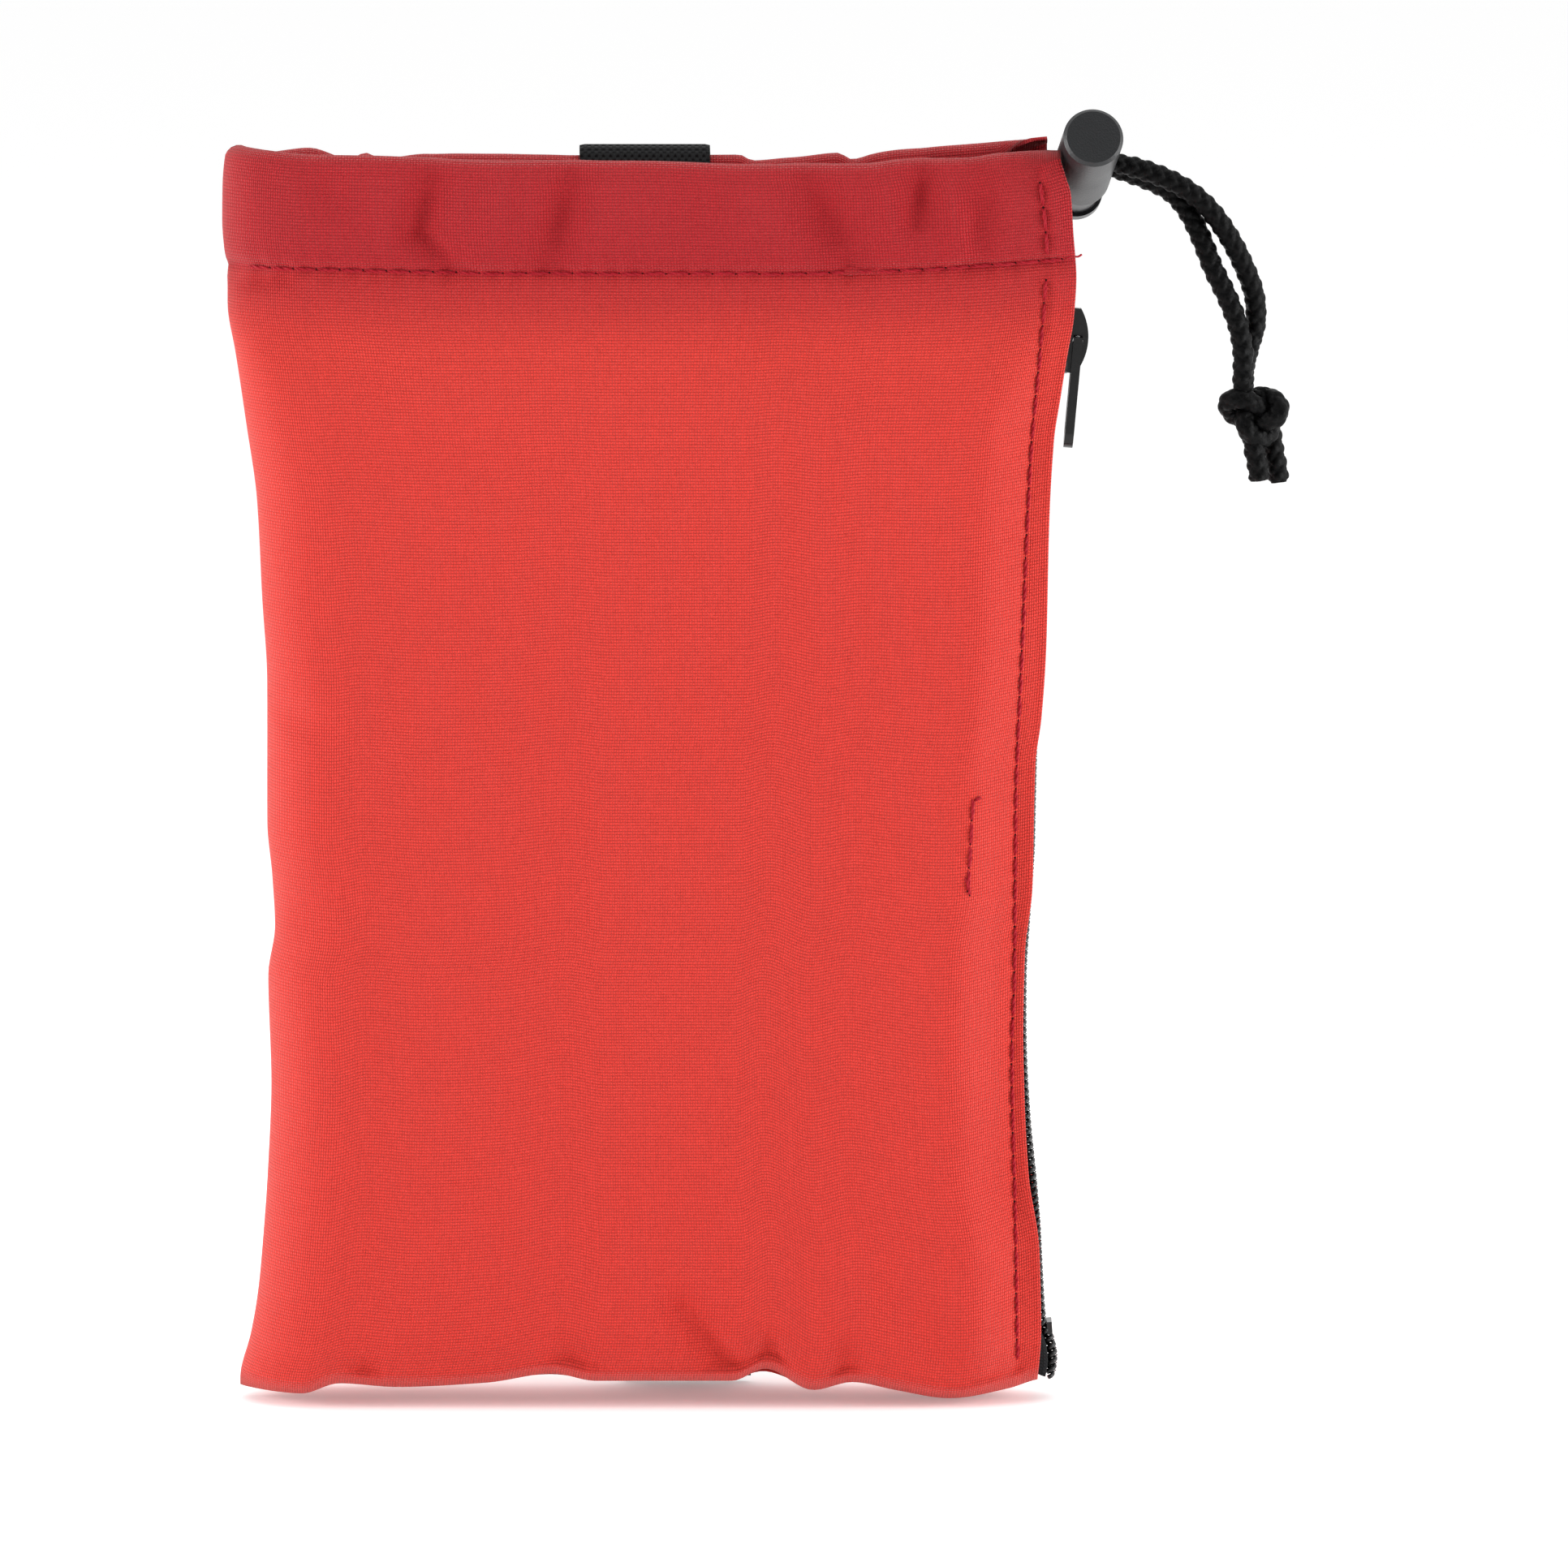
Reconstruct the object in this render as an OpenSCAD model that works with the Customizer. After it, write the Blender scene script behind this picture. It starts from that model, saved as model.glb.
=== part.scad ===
// Fire blanket folded in a drawstring pouch, with a side zip, a cord lock and a back strap.
// The pouch stands on z = 0. X runs across its width, Y from front to back, Z up.
// The front panel faces -Y, and the zip runs up the +X side.

/* [Blanket] */
// Width of the blanket laid flat
blanket_side_x = 900; // [720:10:1200]
// Length of the blanket laid flat
blanket_side_z = 900; // [720:10:1200]
// Layers that the width is folded into
folds_x = 8; // [6:1:10]
// Layers that the length is folded into
folds_z = 6; // [5:1:8]
// Thickness of one layer of the folded blanket
layer_t = 0.47; // [0.3:0.01:0.6]
// Width of the tape of a pull tab
tab_w = 20; // [15:1:25]
// Length of a pull tab, folded flat on the pack
tab_l = 15; // [10:1:18]

/* [Pouch] */
// Thickness of the pouch cloth with its coating
cloth_t = 0.7; // [0.4:0.05:0.9]
// Room between the pack and the pouch at each face
pack_clear = 0.55; // [0.5:0.05:3]
// Room beside the pack, both sides together
side_room = 5.5; // [5:0.5:12]
// Height of the empty neck above the pack
neck_h = 42; // [38:1:60]
// How far each side is drawn in at the waist
waist_in = 6.2; // [3:0.1:8]
// Height of the drawcord hem
hem_h = 17.5; // [15:0.5:20]
// Half the depth of the pouch at its hem, from the middle to the outer face
hem_half = 8; // [7.5:0.1:10]
// Width of the rounded left edge
left_round = 13; // [12.5:0.1:15]

/* [Zip] */
// Width of the closed coil
coil_w = 4.2; // [3.8:0.1:4.6]
// Thickness of the coil
coil_t = 1.8; // [1.4:0.1:2.2]
// Thickness of the zip tape
tape_t = 0.5; // [0.3:0.05:0.6]
// Width of the slider
slider_w = 8; // [7.5:0.1:9]
// Length of the slider
slider_l = 10; // [9:0.1:12]
// Height of the bridge that holds the pull
bridge_h = 3; // [2.8:0.1:3.6]
// Length of the pull
pull_l = 17.6; // [14:0.1:19]
// Width of the pull
pull_w = 4.8; // [4.4:0.1:5.4]
// Thickness of the pull
pull_t = 1.4; // [1:0.1:1.6]
// How far the flap's edge stands out past the coil's middle
flap_lip = 1.2; // [0.8:0.1:1.6]

/* [Strap] */
// Width of the back strap
strap_w = 20; // [15:1:25]
// Thickness of the back strap
strap_t = 1.2; // [1:0.1:1.6]
// Gap between the strap and the pouch, where a belt goes
belt_gap = 4.6; // [4.4:0.1:8]

/* [Cord and lock] */
// Diameter of the drawcord
cord_d = 3; // [2.6:0.1:3.6]
// Diameter of the cord lock's barrel
lock_d = 9.2; // [9:0.1:11]
// Length of the barrel
lock_l = 20; // [19:0.5:24]
// Travel of the plunger
press_travel = 2.5; // [2:0.1:3]
// Length of plunger that stands out of the barrel
plunger_out = 8.7; // [7:0.1:10]

/* [Hidden] */

round_fn = 48;       // round features that are rebuilt as true curves
hull_fn = 24;        // the folded pack's corners and the knot
eps = 0.02;          // gap between faces that lie on each other

// The folded pack
pack_w = blanket_side_x / folds_x;
pack_h = blanket_side_z / folds_z;
pack_t = folds_x * folds_z * layer_t;
pack_floor = cloth_t + 0.3;
pack_flat = 2.56;                                 // flat part of the pack's pressed sides
pack_round = (pack_t - pack_flat) / 2;

// The pouch
body_half = pack_t / 2 + pack_clear + cloth_t;   // half the depth round the pack
waist_half = (pack_w + side_room) / 2;
hem_w_half = waist_half + waist_in;
base_half = hem_w_half - 1.2;
pouch_h = pack_floor + pack_h + neck_h;
hem_z = pouch_h - hem_h;                          // height of the hem's stitch line
pack_top = pack_floor + pack_h;
bottom_flare_h = 30;
top_flare_z = pack_top - 36;
pack_x0 = -waist_half + cloth_t + 1.1;            // left side of the pack

// The hem's tunnel
tunnel = cord_d + 0.5;
fold_r = cloth_t + tunnel / 2;
fold_z = pouch_h - fold_r;
cord_z = fold_z - 5.05;                           // height of the cord's middle in the hem
layer_l = fold_z - hem_z;                         // how far the inner layer reaches down
layer_cut_x = hem_w_half - 21;                    // from here on it is cut shorter
layer_gone_x = hem_w_half - 13;                   // and here the fold itself starts to open
fold_open_x = hem_w_half - 8;
fold_turn = 180;
fold_turn_end = 70;                               // how far the open fold still turns over

// The zip: an arc whose middle is drawn in like the waist
zip_top = [hem_w_half - 2.6, hem_z - 10.6];
zip_base = [zip_top.x - 1.6, 4];
zip_chord = norm(zip_top - zip_base);
zip_bow = 0.52 * waist_in;
zip_r = zip_chord * zip_chord / (8 * zip_bow) + zip_bow / 2;
zip_dir = (zip_top - zip_base) / zip_chord;
zip_mid = (zip_top + zip_base) / 2;
zip_c = zip_mid + (zip_r - zip_bow) * [zip_dir.y, -zip_dir.x];
slider_angle = asin((zip_top.y - zip_c.y) / zip_r);
deg_per_mm = 180 / (PI * zip_r);
stop_gap = 0.4;
stop_l = 2;
top_stop_angle = slider_angle + (slider_l / 2 + stop_gap) * deg_per_mm;
bottom_stop_z = 12;
bottom_stop_angle = asin((bottom_stop_z - zip_c.y) / zip_r);
coil_low_angle = asin((2.5 - zip_c.y) / zip_r);
tape_top_z = hem_z - 3;
coil_high_angle = asin((tape_top_z - 0.2 - zip_c.y) / zip_r);
coil_split = 0.6;                                 // gap between the two halves of the coil
coil_gap = 0.1;                                   // gap between the coil and its tape
coil_lengths = 12;
tape_back = coil_t / 2;                           // the tape lies behind the coil
flap_half = slider_w / 2 + 1.9;                   // flap's outer face at the zip, from the middle
zip_turn = slider_w / 2 + 0.45;                   // where the tape turns in behind the flap
flap_ease = 12.5;                                  // width over which the side narrows to the flap
topstitch_in = 5;                                 // topstitching, from the flap's edge

// Slider
plate_t = 0.8;
slider_under = tape_back + tape_t + 0.2;          // inner face of the lower plate
slider_over = coil_t / 2 + 0.2;                   // inner face of the upper plate
slider_top = slider_over + plate_t;
flange_t = 0.8;
bridge_t = 1.4;
pin_r = 0.7;
pin_gap = 0.1;
pull_off = slider_top + 1.3;                      // height of the pull's pin above the coil's middle
pull_slot = 2.6;                                  // width of the opening in the pull

// Thread
thread_d = 0.45;
stitch_l = 2.9;
stitch_pitch = 3.6;
thread_off = thread_d / 2 + 0.12;

// Strap
strap_top_x = -0.6;
strap_base_x = 5.6;

// Cord lock. Its length runs along local +Z, from the barrel's closed end to the plunger.
lock_at = [hem_w_half + 2.7, -10, pouch_h + 3.8];
lock_yaw = 5.2;
lock_tilt = 23;
lock_wall = 0.8;
lock_cap = 1.6;
lock_bore_r = lock_d / 2 - lock_wall;
plunger_r = lock_bore_r - 0.08;
cord_slot_w = cord_d + 0.4;
cord_stack = 2 * cord_d + 0.4;
barrel_slot0 = 8.4;
plunger_slot0 = barrel_slot0 + press_travel;
barrel_slot1 = plunger_slot0 + cord_stack;
plunger_slot1 = barrel_slot1 + press_travel;
plunger_in = plunger_slot0 - 2.2;                 // inner end of the plunger
plunger_end = lock_l + plunger_out;
spring_r = 2.2;
spring_wire = 0.5;
spring_turns = 4;

// Routes of the cord's free tails, from the hem to the knot
tail_shift = [hem_w_half - 65.2, 0, pouch_h - 193];
upper_route = [
    [50, -5.55, 185.5], [52, -5.5, 185.5], [54, -5.2, 186], [56, -4, 187.2],
    [58, -2.1, 189.2], [60, -0.2, 190.9], [62.3, 1, 191.8], [64.5, 1.3, 191.9],
    [67, 1.6, 191.9], [69.5, 1.8, 191.9], [72.2, 2, 191.6], [77.2, 2, 190.2],
    [81.9, 2, 188], [85.6, 2.3, 185], [88.6, 2.8, 181], [91, 3.4, 176.5],
    [92.9, 3.9, 171.5], [93.4, 4.2, 167], [92.6, 4.3, 163], [91.6, 4.2, 159.8],
    [91.4, 4, 156.5]
];
lower_route = [
    [50, 5.55, 185.5], [52, 5.5, 185.6], [54, 5.3, 186.4], [56, 4.8, 187.8],
    [58, 4.2, 189.3], [60, 3.9, 190.3], [62, 3.9, 190.7], [64.5, 4.1, 190.7],
    [66.7, 4.3, 190.7], [69.5, 4.6, 190.7], [71.5, 4.7, 190.6], [76.4, 4.8, 189],
    [80.2, 4.6, 187], [82.8, 4.1, 184], [84.8, 3.4, 180], [86.6, 2.6, 175.5],
    [88.3, 1.9, 171], [89.9, 1.3, 166.5], [90.8, 0.9, 162.5], [91, 0.8, 159.5],
    [91.2, 0.9, 156.5]
];
knot_at = [93.1, 2.5, 153.2];
knot_r = 4.2;
end_routes = [
    [[92.6, 0.9, 149.9], [93, 0.9, 147.6], [93.5, 0.9, 145.2], [93.8, 0.9, 142.9]],
    [[95.6, 4.1, 149.9], [96.1, 4.1, 147.2], [96.6, 4.1, 144.7], [96.9, 4.1, 142.3]]
];

// ---- General functions and modules ----

function smooth(t) = let (c = min(1, max(0, t))) c * c * (3 - 2 * c);
function mix(a, b, t) = a + (b - a) * t;
function unit(v) = v / norm(v);

// A closed solid through rings of paired points: point i lies across from point m - 1 - i.
module strip(rings, flip = false) {
    n = len(rings);
    m = len(rings[0]);
    function at(r, i) = r * m + (i % m);
    function turn(f) = flip ? [f[2], f[1], f[0]] : f;
    sides = [for (r = [0:n - 2], i = [0:m - 1]) each [
        turn([at(r, i), at(r, i + 1), at(r + 1, i)]),
        turn([at(r, i + 1), at(r + 1, i + 1), at(r + 1, i)])]];
    caps = [for (i = [0:m / 2 - 2]) each [
        turn([at(0, i), at(0, m - 1 - i), at(0, i + 1)]),
        turn([at(0, i + 1), at(0, m - 1 - i), at(0, m - 2 - i)]),
        turn([at(n - 1, i), at(n - 1, i + 1), at(n - 1, m - 1 - i)]),
        turn([at(n - 1, i + 1), at(n - 1, m - 2 - i), at(n - 1, m - 1 - i)])]];
    polyhedron(points = [for (r = rings) each r], faces = concat(sides, caps));
}

// A tube of eight sides along a route.
module tube(route, d, up) {
    n = len(route);
    sides = 8;
    function along(i) = unit(route[min(n - 1, i + 1)] - route[max(0, i - 1)]);
    function ring(i) =
        let (t = along(i), s = unit(cross(t, up)), u = cross(s, t))
        [for (k = [0:sides - 1]) let (a = 360 * (k + 0.5) / sides)
            route[i] + d / 2 * (cos(a) * s + sin(a) * u)];
    walls = [for (i = [0:n - 2], k = [0:sides - 1]) let (j = (k + 1) % sides) each [
        [i * sides + k, (i + 1) * sides + k, i * sides + j],
        [i * sides + j, (i + 1) * sides + k, (i + 1) * sides + j]]];
    caps = [[for (k = [0:sides - 1]) k],
            [for (k = [sides - 1:-1:0]) (n - 1) * sides + k]];
    polyhedron(points = [for (i = [0:n - 1]) each ring(i)], faces = concat(walls, caps));
}

// A straight length of thread between two points.
module thread(a, b) {
    v = b - a;
    translate(a) rotate([0, acos(v.z / norm(v)), atan2(v.y, v.x)])
        cylinder(d = thread_d, h = norm(v), $fn = 16);
}

// ---- The pouch's outline at one height ----

function zip_x(z) = zip_c.x - sqrt(zip_r * zip_r - pow(z - zip_c.y, 2));
function left_x(z) =
    z > top_flare_z
        ? -waist_half - waist_in * pow(min(1, (z - top_flare_z) / (hem_z - top_flare_z)), 1.6)
        : -waist_half - (base_half - waist_half) * pow(max(0, 1 - z / bottom_flare_h), 1.2);
// The hem's front end slopes in above the flap, and its back end stops short of it.
function right_x(z, side) =
    let (edge = zip_x(min(z, hem_z)) + flap_lip)
    side < 0 ? edge - 2.6 * smooth((z - hem_z - 9) / (hem_h - 9))
             : edge - 3.9 * smooth((z - hem_z) / 8);
function depth_at(z) =
    let (base = z < 9 ? mix(0.6, 1, pow(z / 9, 0.55)) : 1)
    base * mix(body_half, hem_half, smooth((z - pack_top) / (hem_z - pack_top)));
function flap_depth_at(z) = mix(flap_half, hem_half, smooth((z - hem_z + 6) / 6)) - 0.01;

left_n = 9;
mid_n = 7;
right_n = 7;
last_col = left_n + mid_n + right_n;
// Half the outline, from the fold on the left to the flap's edge on the right
function outline(k, z, side) =
    let (xl = left_x(z), xr = right_x(z, side), h = depth_at(z),
         he = min(h, flap_depth_at(z)), x1 = xl + left_round, x2 = xr - flap_ease)
    k < left_n
        ? [xl + left_round * (1 - cos(90 * k / left_n)), side * h * sin(90 * k / left_n)]
        : k < left_n + mid_n
            ? [mix(x1, x2, (k - left_n) / mid_n), side * h]
            : let (t = (k - left_n - mid_n) / right_n)
              [mix(x2, xr, t), side * mix(h, he, (1 - cos(180 * t)) / 2)];
function inward(k, z, side) =
    let (a = k < 0.05 ? [outline(0.1, z, side).x, -outline(0.1, z, side).y]
                      : outline(k - 0.05, z, side),
         b = outline(k < 0.05 ? 0.1 : min(last_col, k + 0.05), z, side), d = unit(b - a))
    -side * [-d.y, d.x];
function wall_point(k, z, side, depth, at_z) =
    let (p = outline(k, z, side) + inward(k, z, side) * depth) [p.x, p.y, at_z];
// The column that stands at x
function column_at(x, z, side) =
    let (xl = left_x(z), xr = right_x(z, side), x1 = xl + left_round, x2 = xr - flap_ease)
    x < x1 ? left_n * acos(1 - (x - xl) / left_round) / 90
           : x < x2 ? left_n + mid_n * (x - x1) / (x2 - x1)
                    : left_n + mid_n + right_n * (x - x2) / flap_ease;
function skin_at(x, z, side, off) = wall_point(column_at(x, z, side), z, side, -off, z);

wall_levels = concat(
    [0, 1.5, 4, 9, 18, bottom_flare_h],
    [for (i = [1:5]) mix(bottom_flare_h, top_flare_z, i / 5)],
    [for (i = [1:3]) mix(top_flare_z, pack_top, i / 3)],
    [for (i = [1:2]) mix(pack_top, hem_z - 6, i / 3)],
    [hem_z - 6, tape_top_z, hem_z],
    [for (i = [1:4]) mix(hem_z, fold_z, i / 4)]);
fold_steps = [0.25, 0.5, 0.75, 1];
layer_steps = [0.35, 0.7, 0.9, 1];
pinch = 0.05;

function ramp(x, x0, x1) = min(1, max(0, (x - x0) / (x1 - x0)));
// A point on the hem past the wall's top: turned by a round the fold, then down by l, at radius r
function hem_point(k, side, a, l, r) =
    let (z = fold_z + r * sin(a) + l * cos(a),
         drawn_in = (tunnel - pinch) * (1 - smooth((z - hem_z) / 5)),
         depth = fold_r - r * cos(a) + l * sin(a) - drawn_in)
    wall_point(k, min(z, fold_z), side, depth, z);
// One column of a panel: up the outside, over the hem's fold and down its inner layer, and back
function panel_ring(k, side) =
    let (xk = outline(k, fold_z, side).x,
         turn = mix(fold_turn, fold_turn_end, ramp(xk, layer_gone_x, fold_open_x)),
         drop = mix(layer_l, 0.6, ramp(xk, layer_cut_x, layer_gone_x)),
         path = concat([for (f = fold_steps) [f * turn, 0]], [for (f = layer_steps) [turn, f * drop]]),
         o0 = outline(k, 0, side).x, i0 = wall_point(k, cloth_t, side, cloth_t, 0).x)
    concat(
        [[o0, 0, 0]],
        [for (z = wall_levels) wall_point(k, z, side, 0, z)],
        [for (p = path) hem_point(k, side, p[0], p[1], fold_r)],
        [for (i = [len(path) - 1:-1:0]) hem_point(k, side, path[i][0], path[i][1], tunnel / 2)],
        [for (i = [len(wall_levels) - 1:-1:0]) let (z = max(cloth_t, wall_levels[i]))
            wall_point(k, z, side, cloth_t, z)],
        [[i0, 0, cloth_t]]);

module panel(side) {
    strip([for (k = [0:last_col]) panel_ring(k, side)], flip = side > 0);
}

module front_panel() { color("tomato") panel(-1); }
module back_panel() { color("tomato") panel(1); }

// ---- The blanket ----

module fire_blanket() {
    cx = pack_w / 2 - pack_round;
    cy = pack_t / 2 - pack_round;
    color("ivory") translate([pack_x0 + pack_w / 2, 0, pack_floor])
        hull() for (x = [-cx, cx], y = [-cy, cy], z = [pack_round, pack_h - pack_round])
            translate([x, y, z]) sphere(r = pack_round, $fn = hull_fn);
}

// A loop of tape folded flat on top of the pack
module pull_tab(x) {
    color("black") translate([x, 0, pack_top + eps]) {
        translate([-tab_w / 2, -tab_l / 2, 0]) cube([tab_w, tab_l, 0.8]);
        translate([-tab_w / 2, -tab_l / 2, 1.2]) cube([tab_w, tab_l - 1, 0.8]);
        translate([-tab_w / 2, -tab_l / 2, 0.7]) cube([tab_w, 1, 0.6]);
    }
}
module blanket_pull_tab_left() { pull_tab(pack_x0 + pack_w * 0.25); }
module blanket_pull_tab_right() { pull_tab(pack_x0 + pack_w * 0.75); }

// ---- Stitching ----

// Stitches along the cloth between two points, given as [x, z]
module stitch_line(from, to, side) {
    count = floor(norm(to - from) / stitch_pitch);
    dir = (to - from) / (count * stitch_pitch);
    for (i = [0:count - 1]) {
        a = from + dir * i * stitch_pitch;
        b = a + unit(to - from) * stitch_l;
        thread(skin_at(a.x, a.y, side, thread_off), skin_at(b.x, b.y, side, thread_off));
    }
}
module hem_stitching(side) {
    color("firebrick")
        stitch_line([left_x(hem_z) + 3, hem_z], [right_x(hem_z, side) - 7, hem_z], side);
}
module hem_stitching_front() { hem_stitching(-1); }
module hem_stitching_back() { hem_stitching(1); }

// Topstitching that holds the zip tape to the flap
module zip_stitching(side) {
    function x_at(z) = zip_x(z) + flap_lip - topstitch_in;
    count = floor((hem_z - 14) / stitch_pitch);
    color("firebrick") for (i = [0:count - 1]) {
        z = 10 + i * stitch_pitch;
        thread(skin_at(x_at(z), z, side, thread_off),
               skin_at(x_at(z + stitch_l), z + stitch_l, side, thread_off));
    }
}
module zip_stitching_front() { zip_stitching(-1); }
module zip_stitching_back() { zip_stitching(1); }

// The upright row that closes the turned end of each hem
module hem_end_stitching() {
    color("firebrick") for (side = [-1, 1], i = [0:2]) {
        z = hem_z + 2 + i * stitch_pitch;
        x = right_x(pouch_h, side) - 4;
        thread(skin_at(x, z, side, thread_off), skin_at(x, z + stitch_l, side, thread_off));
    }
}

inner_tab_z = [80, 96.5];
inner_tab_x = [zip_x(88) - 15, zip_x(88) - 8.5];
// A short tape inside the front, caught by its own stitches
module inner_tab() {
    t = 0.25;
    gap = 0.12;
    color("black") strip([for (i = [0:6])
        let (z = mix(inner_tab_z[0], inner_tab_z[1], i / 6)) concat(
            [for (j = [0:4]) let (x = mix(inner_tab_x[0], inner_tab_x[1], j / 4))
                skin_at(x, z, -1, -cloth_t - gap)],
            [for (j = [4:-1:0]) let (x = mix(inner_tab_x[0], inner_tab_x[1], j / 4))
                skin_at(x, z, -1, -cloth_t - gap - t)])]);
}
module inner_tab_stitching() {
    x = inner_tab_x[1] - 1;
    color("firebrick") {
        for (i = [0:3]) {
            z = inner_tab_z[0] + 1.2 + i * stitch_pitch;
            thread(skin_at(x, z, -1, thread_off), skin_at(x, z + stitch_l, -1, thread_off));
        }
        for (z = inner_tab_z)
            thread(skin_at(x - 0.2, z + 0.4, -1, thread_off),
                   skin_at(x + 1.6, z + 0.4, -1, thread_off));
    }
}

// ---- Zip ----

// Places its children in the zip's own frame at an angle: X out of the pouch, Z up the coil
module on_zip(angle) {
    translate([zip_c.x, 0, zip_c.y]) rotate([0, angle, 0]) translate([-zip_r, 0, 0]) children();
}
// Sweeps an outline along the zip. The outline's X is out of the pouch, its Y is to the back.
module zip_sweep(a0, a1) {
    translate([zip_c.x, 0, zip_c.y]) rotate([90, 0, 0]) rotate([0, 0, 180 - a1])
        rotate_extrude(angle = a1 - a0, $fn = 256) translate([zip_r, 0]) mirror([1, 0]) mirror([0, 1])
            children();
}

// One side's tape: flat under the coil, then turned in behind the flap to its topstitching
module zip_tape(side) {
    gap = 0.2;
    function behind_flap(z, depth) =
        let (xr = right_x(z, side))
        [for (d = [topstitch_in + 1.5, topstitch_in, 3.5, 2.4])
            wall_point(column_at(xr - d, z, side), z, side, cloth_t + depth, z)];
    function tape_ring(z) =
        let (outer = behind_flap(z, gap), inner = behind_flap(z, gap + tape_t),
             x0 = zip_x(z) - tape_back, x1 = x0 - tape_t)
        concat(outer,
            [[x0, side * zip_turn, z], [x0, side * coil_split, z]],
            [[x1, side * coil_split, z], [x1, side * (zip_turn - 0.6), z]],
            [inner[3], inner[2], inner[1], inner[0]]);
    color("dimgray") strip([for (z = wall_levels) if (z > 1 && z <= tape_top_z) tape_ring(z)],
                           flip = side > 0);
}
module zip_tape_front() { zip_tape(-1); }
module zip_tape_back() { zip_tape(1); }

// Half of the coil. It is drawn in short lengths, so that the collision shape follows the arc.
module zip_coil(side) {
    r = coil_t / 2;
    step = (coil_high_angle - coil_low_angle) / coil_lengths;
    color("black") for (i = [0:coil_lengths - 1])
        zip_sweep(coil_low_angle + i * step, coil_low_angle + (i + 1) * step - eps * deg_per_mm)
            translate([coil_gap - r, side > 0 ? coil_split / 2 : -coil_w / 2])
                square([2 * r - coil_gap, (coil_w - coil_split) / 2]);
}
module zip_coil_front() { zip_coil(-1); }
module zip_coil_back() { zip_coil(1); }

// Metal clips over the coil at each end of the slider's run
module zip_stop(angle, way) {
    color("dimgray") on_zip(angle) translate([slider_over - 0.15, -coil_w / 2, way > 0 ? 0 : -stop_l])
        cube([0.8, coil_w, stop_l]);
}
module zip_top_stop() { zip_stop(top_stop_angle, 1); }
module zip_bottom_stop() { zip_stop(bottom_stop_angle, -1); }

module slider_plate(x, t) {
    translate([x, 0, 0]) rotate([0, 90, 0]) linear_extrude(t) union() {
        square([slider_l - 4, slider_w], center = true);
        square([slider_l, slider_w - 4], center = true);
        for (a = [-1, 1], b = [-1, 1])
            translate([a * (slider_l / 2 - 2), b * (slider_w / 2 - 2)]) circle(r = 2, $fn = round_fn);
    }
}
module zip_slider() {
    color("black") on_zip(slider_angle) difference() {
        union() {
            slider_plate(-slider_under - plate_t, plate_t);
            slider_plate(slider_over, plate_t);
            // post between the two halves of the coil
            translate([-slider_under - 0.1, -0.2, slider_l / 2 - 3])
                cube([slider_under + slider_over + 0.2, 0.4, 2.4]);
            // flanges on the long sides
            for (s = [-1, 1])
                translate([-tape_back + 0.25, s * (slider_w / 2 - flange_t / 2) - flange_t / 2, -slider_l / 2 + 2])
                    cube([slider_over + tape_back, flange_t, slider_l - 4]);
            // bridge
            translate([slider_top - 0.1, bridge_t / 2, 0]) rotate([90, 0, 0]) linear_extrude(bridge_t)
                intersection() {
                    translate([0, -slider_l / 2]) square([bridge_h + 0.1, slider_l]);
                    translate([bridge_h - slider_l * 0.9, 0]) circle(r = slider_l * 0.9, $fn = 96);
                }
        }
        // room for the pull's pin
        translate([pull_off, 0, 0]) rotate([90, 0, 0])
            cylinder(r = pin_r + pin_gap, h = bridge_t + 1, center = true, $fn = round_fn);
    }
}
// A flat ring with round ends. Its top bar is a round pin that turns in the slider's bridge.
module zip_pull() {
    r = pull_w / 2;
    color("black") on_zip(slider_angle) translate([pull_off, 0, 0]) {
        rotate([90, 0, 0]) cylinder(r = pin_r, h = pull_slot + 0.2, center = true, $fn = round_fn);
        translate([-pull_t / 2, 0, 0]) rotate([0, 90, 0]) linear_extrude(pull_t) difference() {
            union() {
                translate([-pin_r, -r]) square([pull_l - r + pin_r - 1, pull_w]);
                translate([pull_l - r - 1, 0]) circle(r = r, $fn = round_fn);
            }
            translate([-pin_r - 1, -pull_slot / 2]) square([pull_l - r - 1 + pin_r, pull_slot]);
            translate([pull_l - r - 2, 0]) circle(r = pull_slot / 2, $fn = round_fn);
        }
    }
}

// ---- Back strap ----

rim_y = hem_half - fold_r;                        // middle of the back hem's fold
strap_gap = 0.15;                                 // between the strap and the rim it lies on
strap_rim_r = fold_r + strap_gap;
strap_out_y = body_half + belt_gap;
// The strap's inner face, as [y, z]: from inside the mouth, over the rim, down the back
strap_face = concat(
    [[rim_y - strap_rim_r, fold_z - 8], [rim_y - strap_rim_r, fold_z - 4]],
    [for (a = [0:30:180]) [rim_y - strap_rim_r * cos(a), fold_z + strap_rim_r * sin(a)]],
    [[hem_half + strap_gap, hem_z + 3], [hem_half + 1.6, hem_z - 3],
     [mix(hem_half, strap_out_y, 0.6), mix(pack_top, hem_z, 0.45)],
     [strap_out_y, pack_top - 6], [strap_out_y, pack_top * 0.5], [strap_out_y, 34],
     [strap_out_y - 1.6, 20], [body_half + 1.2, 10], [body_half + 0.1, 6], [body_half + 0.1, 3.5]]);
function strap_normal(i) =
    let (n = len(strap_face), d = unit(strap_face[min(n - 1, i + 1)] - strap_face[max(0, i - 1)]))
    [-d.y, d.x];
function strap_x(z) = mix(strap_base_x, strap_top_x, z / pouch_h);
function strap_outer(i) = strap_face[i] + strap_normal(i) * strap_t;
module back_strap() {
    n = len(strap_face);
    color("black") strip([for (e = [-0.5, 0.5]) concat(
        [for (i = [0:n - 1]) let (p = strap_face[i]) [strap_x(p.y) + e * strap_w, p.x, p.y]],
        [for (i = [n - 1:-1:0]) let (p = strap_outer(i))
            [strap_x(strap_face[i].y) + e * strap_w, p.x, p.y]])], flip = true);
}
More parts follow.
